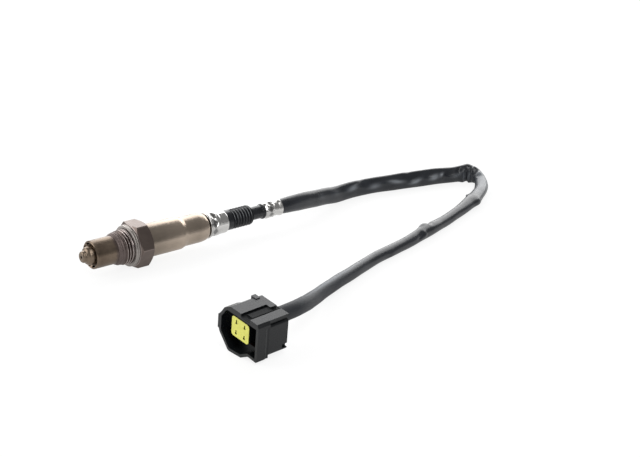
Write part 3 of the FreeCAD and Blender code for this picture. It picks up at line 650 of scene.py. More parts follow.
def softened(corners, size, steps=3):
    """Round the corners of a closed outline of (x, radius)."""
    outline = []
    count = len(corners)
    for index, corner in enumerate(corners):
        here = Vector(corner)
        before = Vector(corners[index - 1]) - here
        after = Vector(corners[(index + 1) % count]) - here
        back = min(size, before.length * 0.45, after.length * 0.45)
        first = here + before.normalized() * back
        last = here + after.normalized() * back
        for step in range(steps + 1):
            t = step / steps
            outline.append(tuple((1 - t) ** 2 * first + 2 * t * (1 - t) * here + t * t * last))
    return outline


def refined_copy(node, name, edge, angle):
    """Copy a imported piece, join its loose triangles and round its edges."""
    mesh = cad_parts[node].data.copy()
    mesh.name = name
    tidy(mesh, distance=2e-6, flatness=math.radians(0.8))
    mesh.polygons.foreach_set("use_smooth", [True] * len(mesh.polygons))
    piece = new_piece(name, mesh)
    bevel = piece.modifiers.new("edge_rounding", "BEVEL")
    bevel.width = edge
    bevel.segments = 2
    bevel.limit_method = "ANGLE"
    bevel.angle_limit = math.radians(angle)
    bevel.use_clamp_overlap = True
    flats = piece.modifiers.new("flat_faces", "WEIGHTED_NORMAL")
    flats.mode = "FACE_AREA"
    flats.weight = 80
    bake_modifiers(piece)
    return piece


def baked_mesh(piece):
    """Turn an object with its modifiers into a plain mesh."""
    depsgraph = bpy.context.evaluated_depsgraph_get()
    return bpy.data.meshes.new_from_object(piece.evaluated_get(depsgraph))


def bake_modifiers(piece):
    """Keep what the modifiers make as the piece's own mesh."""
    baked = baked_mesh(piece)
    piece.modifiers.clear()
    piece.data = baked


def route_line():
    """Follow the lead's route with one smooth spline and read back the points along it."""
    curve = bpy.data.curves.new("lead_route", "CURVE")
    curve.dimensions = "3D"
    spline = curve.splines.new("NURBS")
    spline.points.add(len(sleeve_route) - 1)
    for point, place in zip(spline.points, sleeve_route):
        point.co = (*place, 1.0)
    spline.order_u = 3
    spline.use_endpoint_u = True
    curve.resolution_u = 24
    guide = bpy.data.objects.new("lead_route", curve)
    bpy.context.scene.collection.objects.link(guide)
    mesh = baked_mesh(guide)
    line = np.array([vertex.co[:] for vertex in mesh.vertices])
    bpy.data.objects.remove(guide)
    bpy.data.meshes.remove(mesh)
    keep = np.ones(len(line), bool)
    keep[1:] = np.linalg.norm(np.diff(line, axis=0), axis=1) > 1e-6
    return line[keep]


def rise(value, low, high):
    """Rise smoothly from 0 at low to 1 at high."""
    t = np.clip((np.asarray(value, float) - low) / (high - low), 0.0, 1.0)
    return t * t * (3 - 2 * t)


def hump(value, middle, width):
    """Rise to 1 at the middle and fall away on both sides."""
    return np.exp(-((np.asarray(value, float) - middle) / width) ** 2)


def lead_line():
    """Follow the lead's route: places along it in millimetres, its points, and its side and up there."""
    line = route_line()
    runs = np.linalg.norm(np.diff(line, axis=0), axis=1)
    along = np.concatenate([[0.0], np.cumsum(runs)])
    stations = np.linspace(0.0, along[-1], sleeve_rings)
    centre = np.column_stack([np.interp(stations, along, line[:, axis]) for axis in range(3)])
    forward = np.gradient(centre, axis=0)
    forward /= np.linalg.norm(forward, axis=1)[:, None]
    side = np.cross(forward, [0.0, 0.0, 1.0])
    side /= np.linalg.norm(side, axis=1)[:, None]
    return stations / MM, centre, side, np.cross(side, forward)


def read_along(table, column, s):
    """Read a column of a table of millimetres at each place along the sleeve, as metres."""
    rows = np.array(table)
    return smoothed(np.interp(s, rows[:, 0], rows[:, column])) * MM


def sleeve_mesh(sizes):
    """Loft the flattened sleeve along the lead's line: on edge, folded at the bend, then laid flat."""
    s, centre, side, up = lead_line()
    end = s[-1]
    half_wide = read_along(sleeve_sections, 1, s) * sizes.girth
    half_tall = read_along(sleeve_sections, 2, s) * sizes.girth
    resting = rise(s, *sleeve_lands) * (1 - rise(s, *(end - before for before in sleeve_lifts)))
    drop = (centre[:, 2] - half_tall - floor_height) * resting
    to_right = read_along(sleeve_shifts, 1, s) * sizes.settling
    to_back = read_along(sleeve_shifts, 2, s) * sizes.settling
    centre = centre + np.outer(to_right, seen_right) + np.outer(to_back, seen_back)
    centre[:, 2] -= drop

    angles = np.linspace(0.0, 2 * math.pi, sleeve_segments, endpoint=False)
    grid_s, grid_a = np.meshgrid(s, angles, indexing="ij")
    raised = skin_relief(grid_s, grid_a) * MM
    wide = half_wide[:, None] * np.cos(grid_a) + raised * np.cos(grid_a)
    tall = half_tall[:, None] * np.sin(grid_a) + raised * np.sin(grid_a)
    points = centre[:, None, :] + side[:, None, :] * wide[..., None] + up[:, None, :] * tall[..., None]
    points[..., 2] = np.maximum(points[..., 2], floor_height + 0.02 * MM)
    last_ring = (sleeve_rings - 1) * sleeve_segments
    faces = ring_faces(sleeve_rings, sleeve_segments, False)
    faces.append(tuple(range(sleeve_segments)))
    faces.append(tuple(last_ring + index for index in reversed(range(sleeve_segments))))
    mesh = bpy.data.meshes.new("lead_sleeve")
    mesh.from_pydata(points.reshape(-1, 3).tolist(), [], faces)
    # Painted highlights on the lumps' crowns, along the fold and along the top, kept on the points
    strengths = gathered(painted_sleeve_highlights, grid_s, grid_a, 1.0, 1.0)
    scuffs = mesh.attributes.new("scuffs", "FLOAT", "POINT")
    scuffs.data.foreach_set("value", strengths.ravel().astype(np.float32))
    tidy(mesh)
    shade(mesh, degrees=60)
    return mesh, centre


def smoothed(values):
    """Round the corners of a row of values."""
    kernel = np.hanning(13)
    padded = np.pad(values, len(kernel) // 2, mode="edge")
    return np.convolve(padded, kernel / kernel.sum(), mode="valid")


def gathered(marks, s, angle, above, below):
    """Add up the soft marks of a table over the skin; above and below scale a mark's width on each side."""
    total = np.zeros_like(s)
    for place, degrees, length, width, height, slant in marks:
        turn = angle - math.radians(degrees) - (s - place) * slant
        turn = (turn + math.pi) % (2 * math.pi) - math.pi
        flank = np.where(turn > 0, width * above, width * below)
        total += height * hump(s, place, length) * np.exp(-(turn / flank) ** 2)
    return total


def skin_relief(s, angle):
    """Raise and sink the sleeve's skin, in millimetres, over the leads inside and at the fold."""
    lumps = gathered(sleeve_lumps, s, angle, 0.55, 1.5)
    short_waves = 0.05 * np.sin(s / 3.1 + 2.0 * np.sin(angle))
    long_waves = 0.07 * np.sin(s / 7.7 + 3.0 * np.cos(angle))
    return lumps + (short_waves + long_waves) * rise(s, *waves_start) * (1 - rise(s, *waves_end))


def lead_sleeve(settings):
    sizes = settings.lead
    mesh, centre = sleeve_mesh(sizes)
    piece = new_piece("lead_sleeve", mesh)
    dulls_from, dulls_by = 76.0, 104.0

    def highlighted_and_dulled(tree, place, fine, skin):
        """Paint highlights on the crowns of the lumps, along the fold and along the top, and dull the skin
        towards the connector.
        """
        y = place[1]
        duller = y.step_up(dulls_from, dulls_by) * 0.32
        scuffs = tree.node("ShaderNodeAttribute", {"attribute_name": "scuffs"})
        # Painted highlight: the sleeve lighter on the lumps' crowns, along the fold and along its top
        wear_and_painted_highlight = (tree.out(scuffs, "Fac") * (0.7 + fine * 0.5)).clamped()
        return tree.blend(wear_and_painted_highlight, skin, opaque(sleeve_highlight_colour)), duller

    finish = rubber_finish("sleeve_rubber", tuple(settings.colours.sleeve),
                           roughness=0.3, weave=0.1, over=highlighted_and_dulled)
    settle(piece, finish, "sleeve_rubber", "cable_sleeve")
    path = [tuple(point) for point in centre[::6]] + [tuple(centre[-1])]
    riders = [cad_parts[name] for name in (
        "connector_terminals", "interface_seal", "wire_seals", "heater_leads", "signal_lead", "ground_lead")]
    riders += [bpy.data.objects[name] for name in ("plug_housing", "plug_keeper", "plug_rear_cover")]


def shaped_by(piece, name, inputs, rule):
    """Shape a turned piece for good with a node tree whose rule gives each point a new radius."""
    group = bpy.data.node_groups.new(name, "GeometryNodeTree")
    group.interface.new_socket("Geometry", in_out="INPUT", socket_type="NodeSocketGeometry")
    group.interface.new_socket("Geometry", in_out="OUTPUT", socket_type="NodeSocketGeometry")
    identifiers = {}
    for label, value in inputs.items():
        kind = "NodeSocketInt" if isinstance(value, int) else "NodeSocketFloat"
        identifiers[label] = group.interface.new_socket(label, in_out="INPUT", socket_type=kind).identifier
    tree = Tree(group)
    entry = tree.node("NodeGroupInput")
    place = tree.node("GeometryNodeInputPosition")
    split = tree.node("ShaderNodeSeparateXYZ", None, {0: tree.out(place)})
    x, y, z = (tree.out(split, index) for index in range(3))
    radius, angle = polar(y, z)
    sizes = {label: tree.out(entry, label) for label in inputs}
    new_radius = rule(tree, sizes, x, radius, angle)
    moved = tree.joined(x, new_radius * angle.cosine(), new_radius * angle.sine())
    shaped = tree.node("GeometryNodeSetPosition", None, {"Geometry": tree.out(entry), "Position": moved})
    real = tree.node("GeometryNodeRealizeInstances", None, {0: tree.out(shaped)})
    finished = tree.node("GeometryNodeSetMaterial", None,
                         {"Geometry": tree.out(real), "Material": piece.data.materials[0]})
    tree.node("NodeGroupOutput", None, {0: tree.out(finished)})
    modifier = piece.modifiers.new(name, "NODES")
    modifier.node_group = group
    for label, value in inputs.items():
        modifier[identifiers[label]] = value
    bake_modifiers(piece)


def hexagon_radius(edge, angles):
    """Give the distance to the hexagon's side at each angle, with slightly rounded corners."""
    folded = np.abs(np.mod(angles, math.pi / 3) - math.pi / 6)
    return np.minimum(hexagon_flat / np.cos(folded), hexagon_corner - edge * 0.5)


def threaded_housing(settings):
    """Make the housing with its hexagon, thread, undercut and spigot."""
    sizes = settings.sensor
    face_radius = hexagon_flat - 0.1 * MM
    slope = math.tan(math.radians(30))
    chamfer = (hexagon_corner - face_radius) * slope
    crest = sizes.thread_radius
    shank_start = thread_face - 8.0 * MM
    undercut = shell_high.z - 0.65 * MM
    spigot = outer_tube_high.z - 0.5 * MM
    bore = 2.6 * MM
    shell_bore = shell_high.z - 0.6 * MM
    chamfer_steps, shank_steps = 12, 96
    spans = [hexagon_rear + chamfer * share for share in np.linspace(0, 1, chamfer_steps)]
    spans += [hexagon_front - chamfer * share for share in np.linspace(1, 0, chamfer_steps)]
    outline = [(housing_low.x, bore), (housing_low.x, shell_bore), (hexagon_rear, shell_bore)]
    outline += [(x, None) for x in spans]
    outline += [(hexagon_front, undercut), (shank_start, undercut), (shank_start, undercut + 0.3 * MM)]
    shank = thread_face - shank_start
    outline += [(shank_start + shank * step / shank_steps, crest) for step in range(shank_steps + 1)]
    outline += [(thread_face, spigot), (housing_high.x, spigot), (housing_high.x, bore)]

    def hexagon(x, angles):
        """Follow the hexagon's sides and its chamfers."""
        cone = face_radius + min(x - hexagon_rear, hexagon_front - x) / slope
        return np.minimum(hexagon_radius(sizes.hexagon_edge, angles), cone)

    mesh = turned("housing_with_thread", outline, segments=360, sharp=25, rule=hexagon)
    piece = new_piece("housing_with_thread", mesh)
    piece.data.materials.append(housing_finish(settings.colours, crest))
    run_out = 0.7 * MM
    lead_in = 1.3 * MM
    crest_width = 0.14
    flank_width = 0.72
    paste_starts, paste_ends = -0.8 * MM, 1.6 * MM
    taper_start, taper_length, taper_depth = 2.1 * MM, 2.4 * MM, 1.05 * MM
    worn_starts, worn_depth = -0.4 * MM, 0.4 * MM
    paste_depth = 0.12
    patches_along, patches_round = 240.0, 1.7

    def turns(tree, values, x, radius, angle):
        """Cut the thread's turns into the plain shank, and fill the first ones with paste."""
        phase = (x / values["Pitch"] - angle / (2 * math.pi)).fraction()
        ridge = ((abs(phase * 2.0 - 1.0) - crest_width) / flank_width).clamped()
        begun = x.step_up(shank_start, shank_start + run_out)
        begun = begun * (1.0 - x.step_up(thread_face - lead_in, thread_face))
        patches = tree.joined(x * patches_along, angle * patches_round, 0.0)
        filled = x.step_up(paste_starts, paste_ends)
        filled = filled * (0.5 + tree.grain(patches, scale=1.0, detail=3.0) * 0.5)
        taper = ((x - taper_start) / taper_length).clamped()
        wear_and_painted_highlight = worn_depth * x.step_up(worn_starts, paste_ends)
        crest_radius = values["Crest"] - wear_and_painted_highlight - taper_depth * taper * taper
        groove = (1.0 - ridge) * begun * (1.0 - filled) + filled * paste_depth
        cut = crest_radius - values["Depth"] * groove
        above = {"data_type": "FLOAT", "operation": "GREATER_THAN"}
        on_shank = tree.node("FunctionNodeCompare", above, {0: x, 1: shank_start - 0.01 * MM})
        on_crest = tree.node("FunctionNodeCompare", above, {0: radius, 1: crest - 0.2 * MM})
        return radius + (cut - radius) * (tree.out(on_shank) * tree.out(on_crest))

    shaped_by(piece, "thread_turns",
              {"Pitch": sizes.thread_pitch, "Crest": crest, "Depth": sizes.thread_depth}, turns)
    shade(piece.data, degrees=28)
    settle(piece, piece.data.materials[0], "housing_steel", "sensor_housing")


def gasket_ring():
    """Make the captive ring with its two rolled crowns."""
    low, high = gasket_low.x, gasket_high.x
    width = high - low
    bore = 8.2 * MM
    outer = gasket_high.z
    shoulder = outer - 0.25 * MM
    valley = outer - 0.45 * MM
    corners = [
        (low, bore), (low, shoulder), (low + width * 0.14, outer), (low + width * 0.36, outer),
        (low + width * 0.5, valley), (low + width * 0.64, outer), (low + width * 0.86, outer),
        (high, shoulder), (high, 9.1 * MM), (high - 0.5 * MM, bore)]
    mesh = turned("captive_sealing_ring", softened(corners, size=0.3 * MM), segments=144, sharp=32)
    piece = new_piece("captive_sealing_ring", mesh)
    settle(piece, gasket_finish(), "gasket_steel", "gasket_ring")


def protection_tubes(settings):
    """Refine the two protection tubes over the tip."""
    finish = nose_finish(settings.colours)
    outer = refined_copy("outer_protection_tube", "outer_tip_tube", edge=0.12 * MM, angle=35)
    settle(outer, finish, "heat_tinted_steel", "outer_protection_tube")
    wall = 0.4 * MM
    tip = inner_tube_high.x
    front = outer_tube_high.x
    flange = inner_tube_low.x
    rim, body, hole = 6.85 * MM, 4.9 * MM, 0.75 * MM
    corners = [
        (flange, 4.5 * MM), (flange, rim), (flange + wall, rim), (flange + wall, body),
        (front + 0.3 * MM, body), (front + 1.7 * MM, 4.65 * MM), (front + 2.7 * MM, 4.1 * MM),
        (front + 3.1 * MM, 3.1 * MM), (tip - 0.5 * MM, 2.95 * MM), (tip, 2.4 * MM), (tip, hole),
        (tip - wall, hole), (tip - wall, 2.2 * MM), (front + 2.5 * MM, 2.5 * MM),
        (front + 1.6 * MM, 4.2 * MM), (front, 4.5 * MM)]
    mesh = turned("inner_tip_tube", softened(corners, size=0.45 * MM, steps=4), segments=112, sharp=60)
    inner = new_piece("inner_tip_tube", mesh)
    settle(inner, finish, "heat_tinted_steel", "inner_protection_tube")


def upper_shell(settings):
    """Make the stepped shell with its rolled crown and neck."""
    wall = 0.6 * MM
    wide = shell_high.z
    slim = 7.7 * MM
    neck = 4.7 * MM
    rear = shell_low.x
    crown_end = rear + 10.0 * MM
    crown = crown_end + 4.3 * MM
    step_end = crown + 10.1 * MM
    step_start = step_end + 2.6 * MM
    corners = [
        (hexagon_rear, wide - wall), (hexagon_rear, wide), (step_start, wide), (step_end, slim),
        (crown, slim), (crown_end + 1.7 * MM, slim - 0.3 * MM), (crown_end, 6.65 * MM),
        (crown_end, neck), (rear, neck), (rear, neck - wall), (crown_end + wall, neck - wall),
        (crown_end + wall, 6.1 * MM), (crown, slim - wall), (step_end, slim - wall),
        (step_start, wide - wall)]
    mesh = turned("stepped_shell", softened(corners, size=0.7 * MM, steps=5), segments=160, sharp=40)
    piece = new_piece("stepped_shell", mesh)
    settle(piece, shell_finish(settings.colours), "heat_tinted_steel", "upper_shell")


def ribbed_boot(settings):
    """Make the rubber boot, whose bellows follow a repeating rule."""
    sizes = settings.sensor
    top = sizes.boot_radius
    gaps_between_ribs = 7
    ribs_front = boot_high.x - 14.8 * MM
    ribs_rear = ribs_front - gaps_between_ribs * sizes.boot_pitch
    bead_front = ribs_rear - 7.9 * MM
    bead_rear = rear_collar_high.x
    neck = 3.5 * MM
    clamped_neck = neck - 0.02 * MM
    bead = 4.1 * MM
    bore = 3.0 * MM
    mouth = 4.72 * MM
    seat = shell_low.x - 0.05 * MM
    corners = [
        (boot_high.x, mouth), (boot_high.x, top), (ribs_rear, top), (ribs_rear, neck), (bead_front, neck),
        (bead_front - 0.5 * MM, bead), (bead_rear + 0.5 * MM, bead), (bead_rear, bead - 0.3 * MM),
        (bead_rear, clamped_neck), (boot_low.x, clamped_neck), (boot_low.x, bore), (seat, bore),
        (seat, mouth)]
    outline = dense(softened(corners, size=0.25 * MM), spacing=0.11 * MM)
    piece = new_piece("ribbed_boot", turned("ribbed_boot", outline, segments=96, sharp=30))

    def painted_rib_highlights(tree, place, fine, skin):
        """Paint highlights on the ribs' crowns where they face up and towards the camera."""
        x, y, z, radius, _ = place
        high, front, rear = top / MM, ribs_front / MM, ribs_rear / MM
        crown = radius.step_up(high - 0.22, high - 0.06) * x.step_up(rear, rear + 0.3)
        crown = crown * (1.0 - x.step_up(front - 0.3, front))
        facing = ((z * 0.77 + y * 0.64) / radius).step_up(0.72, 0.93)
        # Painted highlight on the ribs' crowns facing up and towards the camera
        return tree.blend((crown * facing * (0.6 + fine * 0.6)).clamped(), skin, opaque(rib_highlight_colour)), 0.0

    piece.data.materials.append(rubber_finish(
        "boot_rubber", tuple(settings.colours.rubber), roughness=0.28, weave=0.04, over=painted_rib_highlights))

    def bellows(tree, values, x, radius, angle):
        """Sink the grooves between the bellows' discs."""
        turn = (ribs_front - x) / values["Pitch"] * (2 * math.pi)
        groove = ((turn.cosine() + 1.0) * 0.62).clamped()
        inside = x.step_up(ribs_rear, ribs_rear + 0.05 * MM)
        inside = inside * (1.0 - x.step_up(ribs_front - 0.1 * MM, ribs_front))
        skin = radius.step_up(top - 0.3 * MM, top - 0.2 * MM)
        return radius - groove * inside * skin * values["Groove"]

    shaped_by(piece, "boot_bellows", {"Pitch": sizes.boot_pitch, "Groove": sizes.boot_groove}, bellows)
    shade(piece.data, degrees=34)
    settle(piece, piece.data.materials[0], "boot_rubber", "strain_relief_boot")


def crimped_collar(name, node, corners, band, depth, finish, count):
    """Make a collar whose crimps follow a repeating rule."""
    outline = dense(softened(corners, size=0.22 * MM), spacing=0.16 * MM)
    piece = new_piece(name, turned(name, outline, segments=160, sharp=24))
    piece.data.materials.append(finish)
    middle, half, outer = band
    dent_reach, dent_slope = 1.15, 0.75
    ridge_place, ridge_slope, ridge_height = 1.35, 3.0, 0.25

    def crimps(tree, values, x, radius, angle):
        """Press diamond-shaped dents between neighbouring crimps."""
        turn = (angle / (2 * math.pi) * values["Crimps"]).fraction()
        beside = abs(turn - 0.5) * 2.0
        along = abs(x - middle) / half
        dent = (dent_reach - along - beside * dent_slope).clamped()
        ridge = (1.0 - abs(along + beside - ridge_place) * ridge_slope).clamped() * ridge_height
        skin = radius.step_up(outer - 0.6 * MM, outer - 0.45 * MM) * (1.0 - along.step_up(0.95, 1.1))
        return radius - (dent - ridge) * skin * values["Depth"]

    shaped_by(piece, name + "_crimps", {"Crimps": count, "Depth": depth}, crimps)
    shade(piece.data, degrees=22)
    settle(piece, finish, "collar_steel", node)


def crimp_collars(settings):
    """Make the two crimp collars."""
    finish = collar_finish(settings.colours)
    count = settings.sensor.crimp_count
    high, low = front_collar_high.x, front_collar_low.x
    bore, lip, band, slim = 5.37 * MM, 6.95 * MM, front_band[2], 6.1 * MM
    corners = [
        (high, bore), (high, lip - 0.3 * MM), (high - 0.3 * MM, lip), (high - 0.8 * MM, lip),
        (high - 1.3 * MM, band), (high - 6.6 * MM, band), (high - 7.2 * MM, slim), (low + 0.5 * MM, slim),
        (low, slim - 0.3 * MM), (low, bore)]
    crimped_collar("front_collar", "front_crimp_collar", corners, front_band, 0.55 * MM, finish, count)
    high, low = rear_collar_high.x, rear_collar_low.x
    bore, band, waist, mouth = 3.52 * MM, rear_band[2], 4.0 * MM, rear_collar_high.z
    corners = [
        (high, bore), (high, waist - 0.2 * MM), (high - 0.4 * MM, waist), (high - 1.3 * MM, band),
        (high - 5.5 * MM, band), (high - 6.2 * MM, waist), (low + 2.4 * MM, waist), (low + 0.7 * MM, mouth),
        (low, mouth), (low, mouth - 0.45 * MM), (boot_low.x, bore)]
    crimped_collar("rear_collar", "rear_crimp_collar", corners, rear_band, 0.5 * MM, finish, count)


def plug_connector(settings):
    """Refine the connector's housing, keeper and rear cover."""
    colours = settings.colours
    axis = (Vector(sleeve_route[-1]) - Vector(sleeve_route[-2])).normalized()
    level_side = Vector((0.0, 0.0, 1.0)).cross(axis).normalized()
    side = Matrix.Rotation(connector_lean, 3, axis) @ level_side
    up = axis.cross(side)
    end = Vector(sleeve_route[-1]) / MM
    groove_middle, groove_half = end.dot(side) + 5.0, 3.15
    groove_floor, rail_top = end.dot(up) + 7.9, end.dot(up) + 9.6

    def rail_highlight_and_rough_groove(tree, place, flow, skin):
        """Paint a highlight on the tops of the rails, and roughen the latch groove between them."""
        across = reach(place, side)
        height = reach(place, up)
        # Painted highlight: the rails' tops lighter
        painted_rail_highlight = height.step_up(rail_top + 0.25, rail_top + 0.37) * (0.7 + flow * 0.5)
        coarse = 1.0 - abs(across - groove_middle).step_up(groove_half - 0.1, groove_half)
        coarse = coarse * height.step_up(groove_floor - 0.1, groove_floor)
        coarse = coarse * (1.0 - height.step_up(rail_top, rail_top + 0.1)) * 0.45
        return tree.blend(painted_rail_highlight.clamped(), skin, opaque(rail_top_highlight)), coarse

    black = moulding_finish("connector_black", tuple(colours.moulding), roughness=0.27, over=rail_highlight_and_rough_groove)
    housing = refined_copy("connector_housing", "plug_housing", edge=0.22 * MM, angle=40)
    settle(housing, black, "connector_plastic", "connector_housing")
    cover = refined_copy("connector_rear_cover", "plug_rear_cover", edge=0.2 * MM, angle=40)
    settle(cover, black, "connector_plastic", "connector_rear_cover")
    keeper = refined_copy("connector_insert", "plug_keeper", edge=0.12 * MM, angle=40)
    face = max(vertex.co.dot(axis) for vertex in keeper.data.vertices) / MM

    def shadowed(tree, place, flow, skin):
        """Darken the slots behind the keeper's face."""
        depth = (face - reach(place, axis)).step_up(0.1, 0.35)
        return tree.blend(depth * 0.93, skin, opaque(slot_shadow)), 0.0

    yellow = moulding_finish("keeper_yellow", tuple(colours.keeper), roughness=0.42, over=shadowed)
    settle(keeper, yellow, "insert_plastic", "connector_insert")


def hidden_pieces():
    """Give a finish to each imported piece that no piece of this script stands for."""
    ceramic = moulding_finish("support_ceramic", (0.78, 0.75, 0.7), roughness=0.6)
    element = moulding_finish("element_ceramic", (0.7, 0.69, 0.65), roughness=0.5)
    talc = moulding_finish("pressed_talc", (0.6, 0.59, 0.56), roughness=0.8)
    plated = drawn_steel("plated_contact", [(-42, (0.6, 0.56, 0.46)), (20, (0.66, 0.62, 0.5))],
                         roughness=0.28, streak=0.3)
    steel = drawn_steel("inner_steel", [(-40, (0.5, 0.49, 0.47)), (-10, (0.55, 0.54, 0.52))],
                        roughness=0.35, streak=0.3)
    seal = rubber_finish("seal_silicone", (0.2, 0.05, 0.03), roughness=0.55, weave=0.1)
    white_cover, black_cover, grey_cover = (
        rubber_finish(name, colour, roughness=0.4, weave=0.1) for name, colour in (
            ("white_lead_cover", (0.7, 0.7, 0.68)),
            ("black_lead_cover", (0.02, 0.02, 0.02)),
            ("grey_lead_cover", (0.2, 0.2, 0.2))))
    finishes = {
        "sensing_element": element,
        "lower_ceramic_support": ceramic,
        "upper_ceramic_bush": ceramic,
        "talc_packing": talc,
        "compression_ring": steel,
        "contact_holder_upper": ceramic,
        "contact_holder_lower": ceramic,
        "holder_clamp": steel,
        "contact_springs": plated,
        "connector_terminals": plated,
        "heater_leads": white_cover,
        "signal_lead": black_cover,
        "ground_lead": grey_cover,
        "wire_grommet": seal,
        "interface_seal": seal,
        "wire_seals": seal,
    }
    for name, finish in finishes.items():
        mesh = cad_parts[name].data
        mesh.materials.clear()
        mesh.materials.append(finish)


def area_lamp(name, place, target, size, power):
    """Hang one soft rectangular lamp that points at a place."""
    data = bpy.data.lights.new(name, "AREA")
    data.shape = "RECTANGLE"
    data.size, data.size_y = size
    data.energy = power
    lamp = bpy.data.objects.new(name, data)
    lamp.location = place
    lamp.rotation_euler = (Vector(target) - Vector(place)).to_track_quat("-Z", "Y").to_euler()
    bpy.context.scene.collection.objects.link(lamp)


def stage(settings):
    """Lay the floor, hang the lamps, set the surroundings and place the camera."""
    scene = bpy.context.scene
    scene.view_settings.view_transform = "Standard"
    values = settings.stage
    mesh = bpy.data.meshes.new("pale_floor")
    half = 4.0
    corners = [(-half, -half), (half, -half), (half, half), (-half, half)]
    mesh.from_pydata([(x, y, floor_height) for x, y in corners], [], [(0, 1, 2, 3)])
    floor = new_piece("pale_floor", mesh)
    floor.data.materials.append(floor_finish(settings.colours))

    look = Vector(camera_look).normalized()
    ahead = Vector((look.x, look.y, 0.0)).normalized()
    above = Vector((0.0, 0.0, 1.0))
    right = ahead.cross(above)
    middle = Vector(sensor_middle)
    area_lamp("overhead_lamp", middle + Vector((0.18, 0.5, 0.65)), middle, (0.25, 1.0), values.overhead)
    area_lamp("back_lamp", middle + ahead * 0.89 + above * 0.46, middle, (1.8, 0.86), values.back)
    area_lamp("side_lamp", middle - right * 0.8 + above * 0.35, middle, (0.6, 0.6), values.side)

    scene.world = bpy.data.worlds.new("studio")
    scene.world.use_nodes = True
    scene.world.node_tree.nodes.clear()
    tree = Tree(scene.world.node_tree)
    lit, seen = (
        tree.out(tree.node("ShaderNodeBackground", None, {"Color": opaque(white), "Strength": strength}))
        for strength in (values.ambient, 1.0))
    tree.node("ShaderNodeOutputWorld", None, {"Surface": by_camera(tree, lit, seen)})

    data = bpy.data.cameras.new("photo_camera")
    data.lens = values.lens
    data.sensor_width = 36.0
    data.sensor_fit = "HORIZONTAL"
    data.clip_end = 20.0
    camera = bpy.data.objects.new("photo_camera", data)
    camera.location = camera_place
    camera.rotation_mode = "QUATERNION"
    camera.rotation_quaternion = look.to_track_quat("-Z", "Y")
    scene.collection.objects.link(camera)
    scene.camera = camera


def by_camera(tree, lit, seen):
    """Give one shader to the light that falls on the pieces and another to what the camera sees."""
    by_eye = tree.out(tree.node("ShaderNodeLightPath"), "Is Camera Ray")
    return tree.out(tree.node("ShaderNodeMixShader", None, {0: by_eye, 1: lit, 2: seen}))


def floor_finish(colours):
    """Make the white floor: seen directly it is mostly its own white, with a soft shadow on it."""
    material = bpy.data.materials.new("pale_floor")
    material.use_nodes = True
    material.node_tree.nodes.clear()
    tree = Tree(material.node_tree)

    def glowing(colour, strength):
        """Add a glow of its own to a matt surface."""
        matt = tree.node("ShaderNodeBsdfDiffuse", None, {"Color": opaque(colour)})
        glow = tree.node("ShaderNodeEmission", None, {"Color": opaque(white), "Strength": strength})
        return tree.out(tree.node("ShaderNodeAddShader", None, {0: tree.out(matt), 1: tree.out(glow)}))

    lit = glowing([part * 0.5 for part in colours.floor], 0.38)
    seen = glowing((0.2, 0.2, 0.2), 0.84)
    tree.node("ShaderNodeOutputMaterial", None, {"Surface": by_camera(tree, lit, seen)})
    return material


class Settings:
    """The property groups of the scene, gathered for the makers."""

    def __init__(self, scene):
        self.sensor = scene.sensor_sizes
        self.lead = scene.lead_sizes
        self.colours = scene.finish_colours
        self.stage = scene.stage_settings


class SENSOR_OT_make_housing(bpy.types.Operator):
    """Make the housing with its hexagon and thread"""

    bl_idname = "sensor.make_housing"
    bl_label = "Threaded housing"

    def execute(self, context):
        threaded_housing(Settings(context.scene))
        return {"FINISHED"}


class SENSOR_OT_make_gasket(bpy.types.Operator):
    """Make the captive sealing ring"""

    bl_idname = "sensor.make_gasket"
    bl_label = "Sealing ring"

    def execute(self, context):
        gasket_ring()
        return {"FINISHED"}


class SENSOR_OT_make_tubes(bpy.types.Operator):
    """Refine the two tubes over the tip"""

    bl_idname = "sensor.make_tubes"
    bl_label = "Protection tubes"

    def execute(self, context):
        protection_tubes(Settings(context.scene))
        return {"FINISHED"}


class SENSOR_OT_make_shell(bpy.types.Operator):
    """Make the stepped bronze shell"""

    bl_idname = "sensor.make_shell"
    bl_label = "Upper shell"

    def execute(self, context):
        upper_shell(Settings(context.scene))
        return {"FINISHED"}


class SENSOR_OT_make_boot(bpy.types.Operator):
    """Make the rubber boot with its bellows"""

    bl_idname = "sensor.make_boot"
    bl_label = "Ribbed boot"

    def execute(self, context):
        ribbed_boot(Settings(context.scene))
        return {"FINISHED"}


class SENSOR_OT_make_collars(bpy.types.Operator):
    """Make the two bright crimp collars"""

    bl_idname = "sensor.make_collars"
    bl_label = "Crimp collars"

    def execute(self, context):
        crimp_collars(Settings(context.scene))
        return {"FINISHED"}


class SENSOR_OT_make_connector(bpy.types.Operator):
    """Refine the connector's housing, keeper and cover"""

    bl_idname = "sensor.make_connector"
    bl_label = "Plug connector"

    def execute(self, context):
        plug_connector(Settings(context.scene))
        return {"FINISHED"}


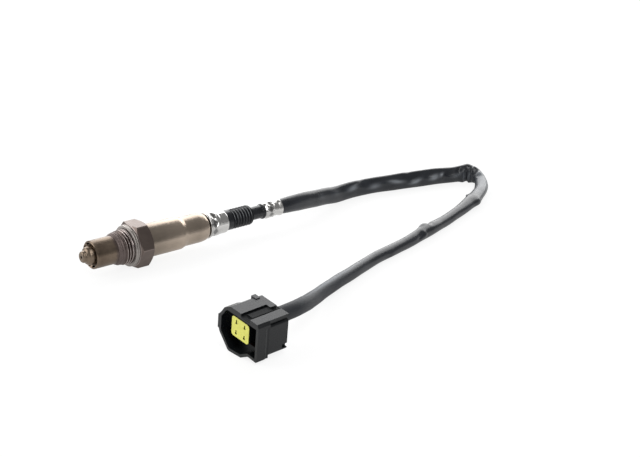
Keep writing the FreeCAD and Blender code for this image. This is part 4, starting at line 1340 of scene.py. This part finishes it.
class SENSOR_OT_make_lead(bpy.types.Operator):
    bl_idname = "sensor.make_lead"
    bl_label = "Lead sleeve"

    def execute(self, context):
        lead_sleeve(Settings(context.scene))
        return {"FINISHED"}


class SENSOR_OT_finish_hidden(bpy.types.Operator):
    """Give the inner pieces their finishes"""

    bl_idname = "sensor.finish_hidden"
    bl_label = "Hidden pieces"

    def execute(self, context):
        hidden_pieces()
        return {"FINISHED"}


class SENSOR_OT_make_stage(bpy.types.Operator):
    """Lay the floor, hang the lamps and place the camera"""

    bl_idname = "sensor.make_stage"
    bl_label = "Stage"

    def execute(self, context):
        stage(Settings(context.scene))
        return {"FINISHED"}


# In the order in which they run
operators = [
    SENSOR_OT_make_housing, SENSOR_OT_make_gasket, SENSOR_OT_make_tubes, SENSOR_OT_make_shell,
    SENSOR_OT_make_boot, SENSOR_OT_make_collars, SENSOR_OT_make_connector, SENSOR_OT_make_lead,
    SENSOR_OT_finish_hidden, SENSOR_OT_make_stage]


class SENSOR_PT_pieces(bpy.types.Panel):
    """Buttons for the sensor's pieces and their sizes."""

    bl_label = "Oxygen sensor"
    bl_idname = "SENSOR_PT_pieces"
    bl_space_type = "VIEW_3D"
    bl_region_type = "UI"
    bl_category = "Sensor"

    def draw(self, context):
        """List the operators and the settings."""
        for made in operators:
            self.layout.operator(made.bl_idname)
        for holder, group in groups.items():
            for name in group.__annotations__:
                self.layout.prop(getattr(context.scene, holder), name)


groups = {
    "sensor_sizes": SensorSizes,
    "lead_sizes": LeadSizes,
    "finish_colours": FinishColours,
    "stage_settings": StageSettings,
}


def register():
    """Register the classes and hang the property groups on the scene."""
    for made in (*groups.values(), *operators, SENSOR_PT_pieces):
        bpy.utils.register_class(made)
    for name, group in groups.items():
        setattr(bpy.types.Scene, name, PointerProperty(type=group))


def unregister():
    """Take the property groups and the classes away again."""
    for name in groups:
        delattr(bpy.types.Scene, name)
    for made in (SENSOR_PT_pieces, *reversed(operators), *groups.values()):
        bpy.utils.unregister_class(made)


def main():
    """Make every piece in order."""
    register()
    for made in operators:
        getattr(bpy.ops.sensor, made.bl_idname.removeprefix("sensor."))()


if __name__ == "__main__":
    main()
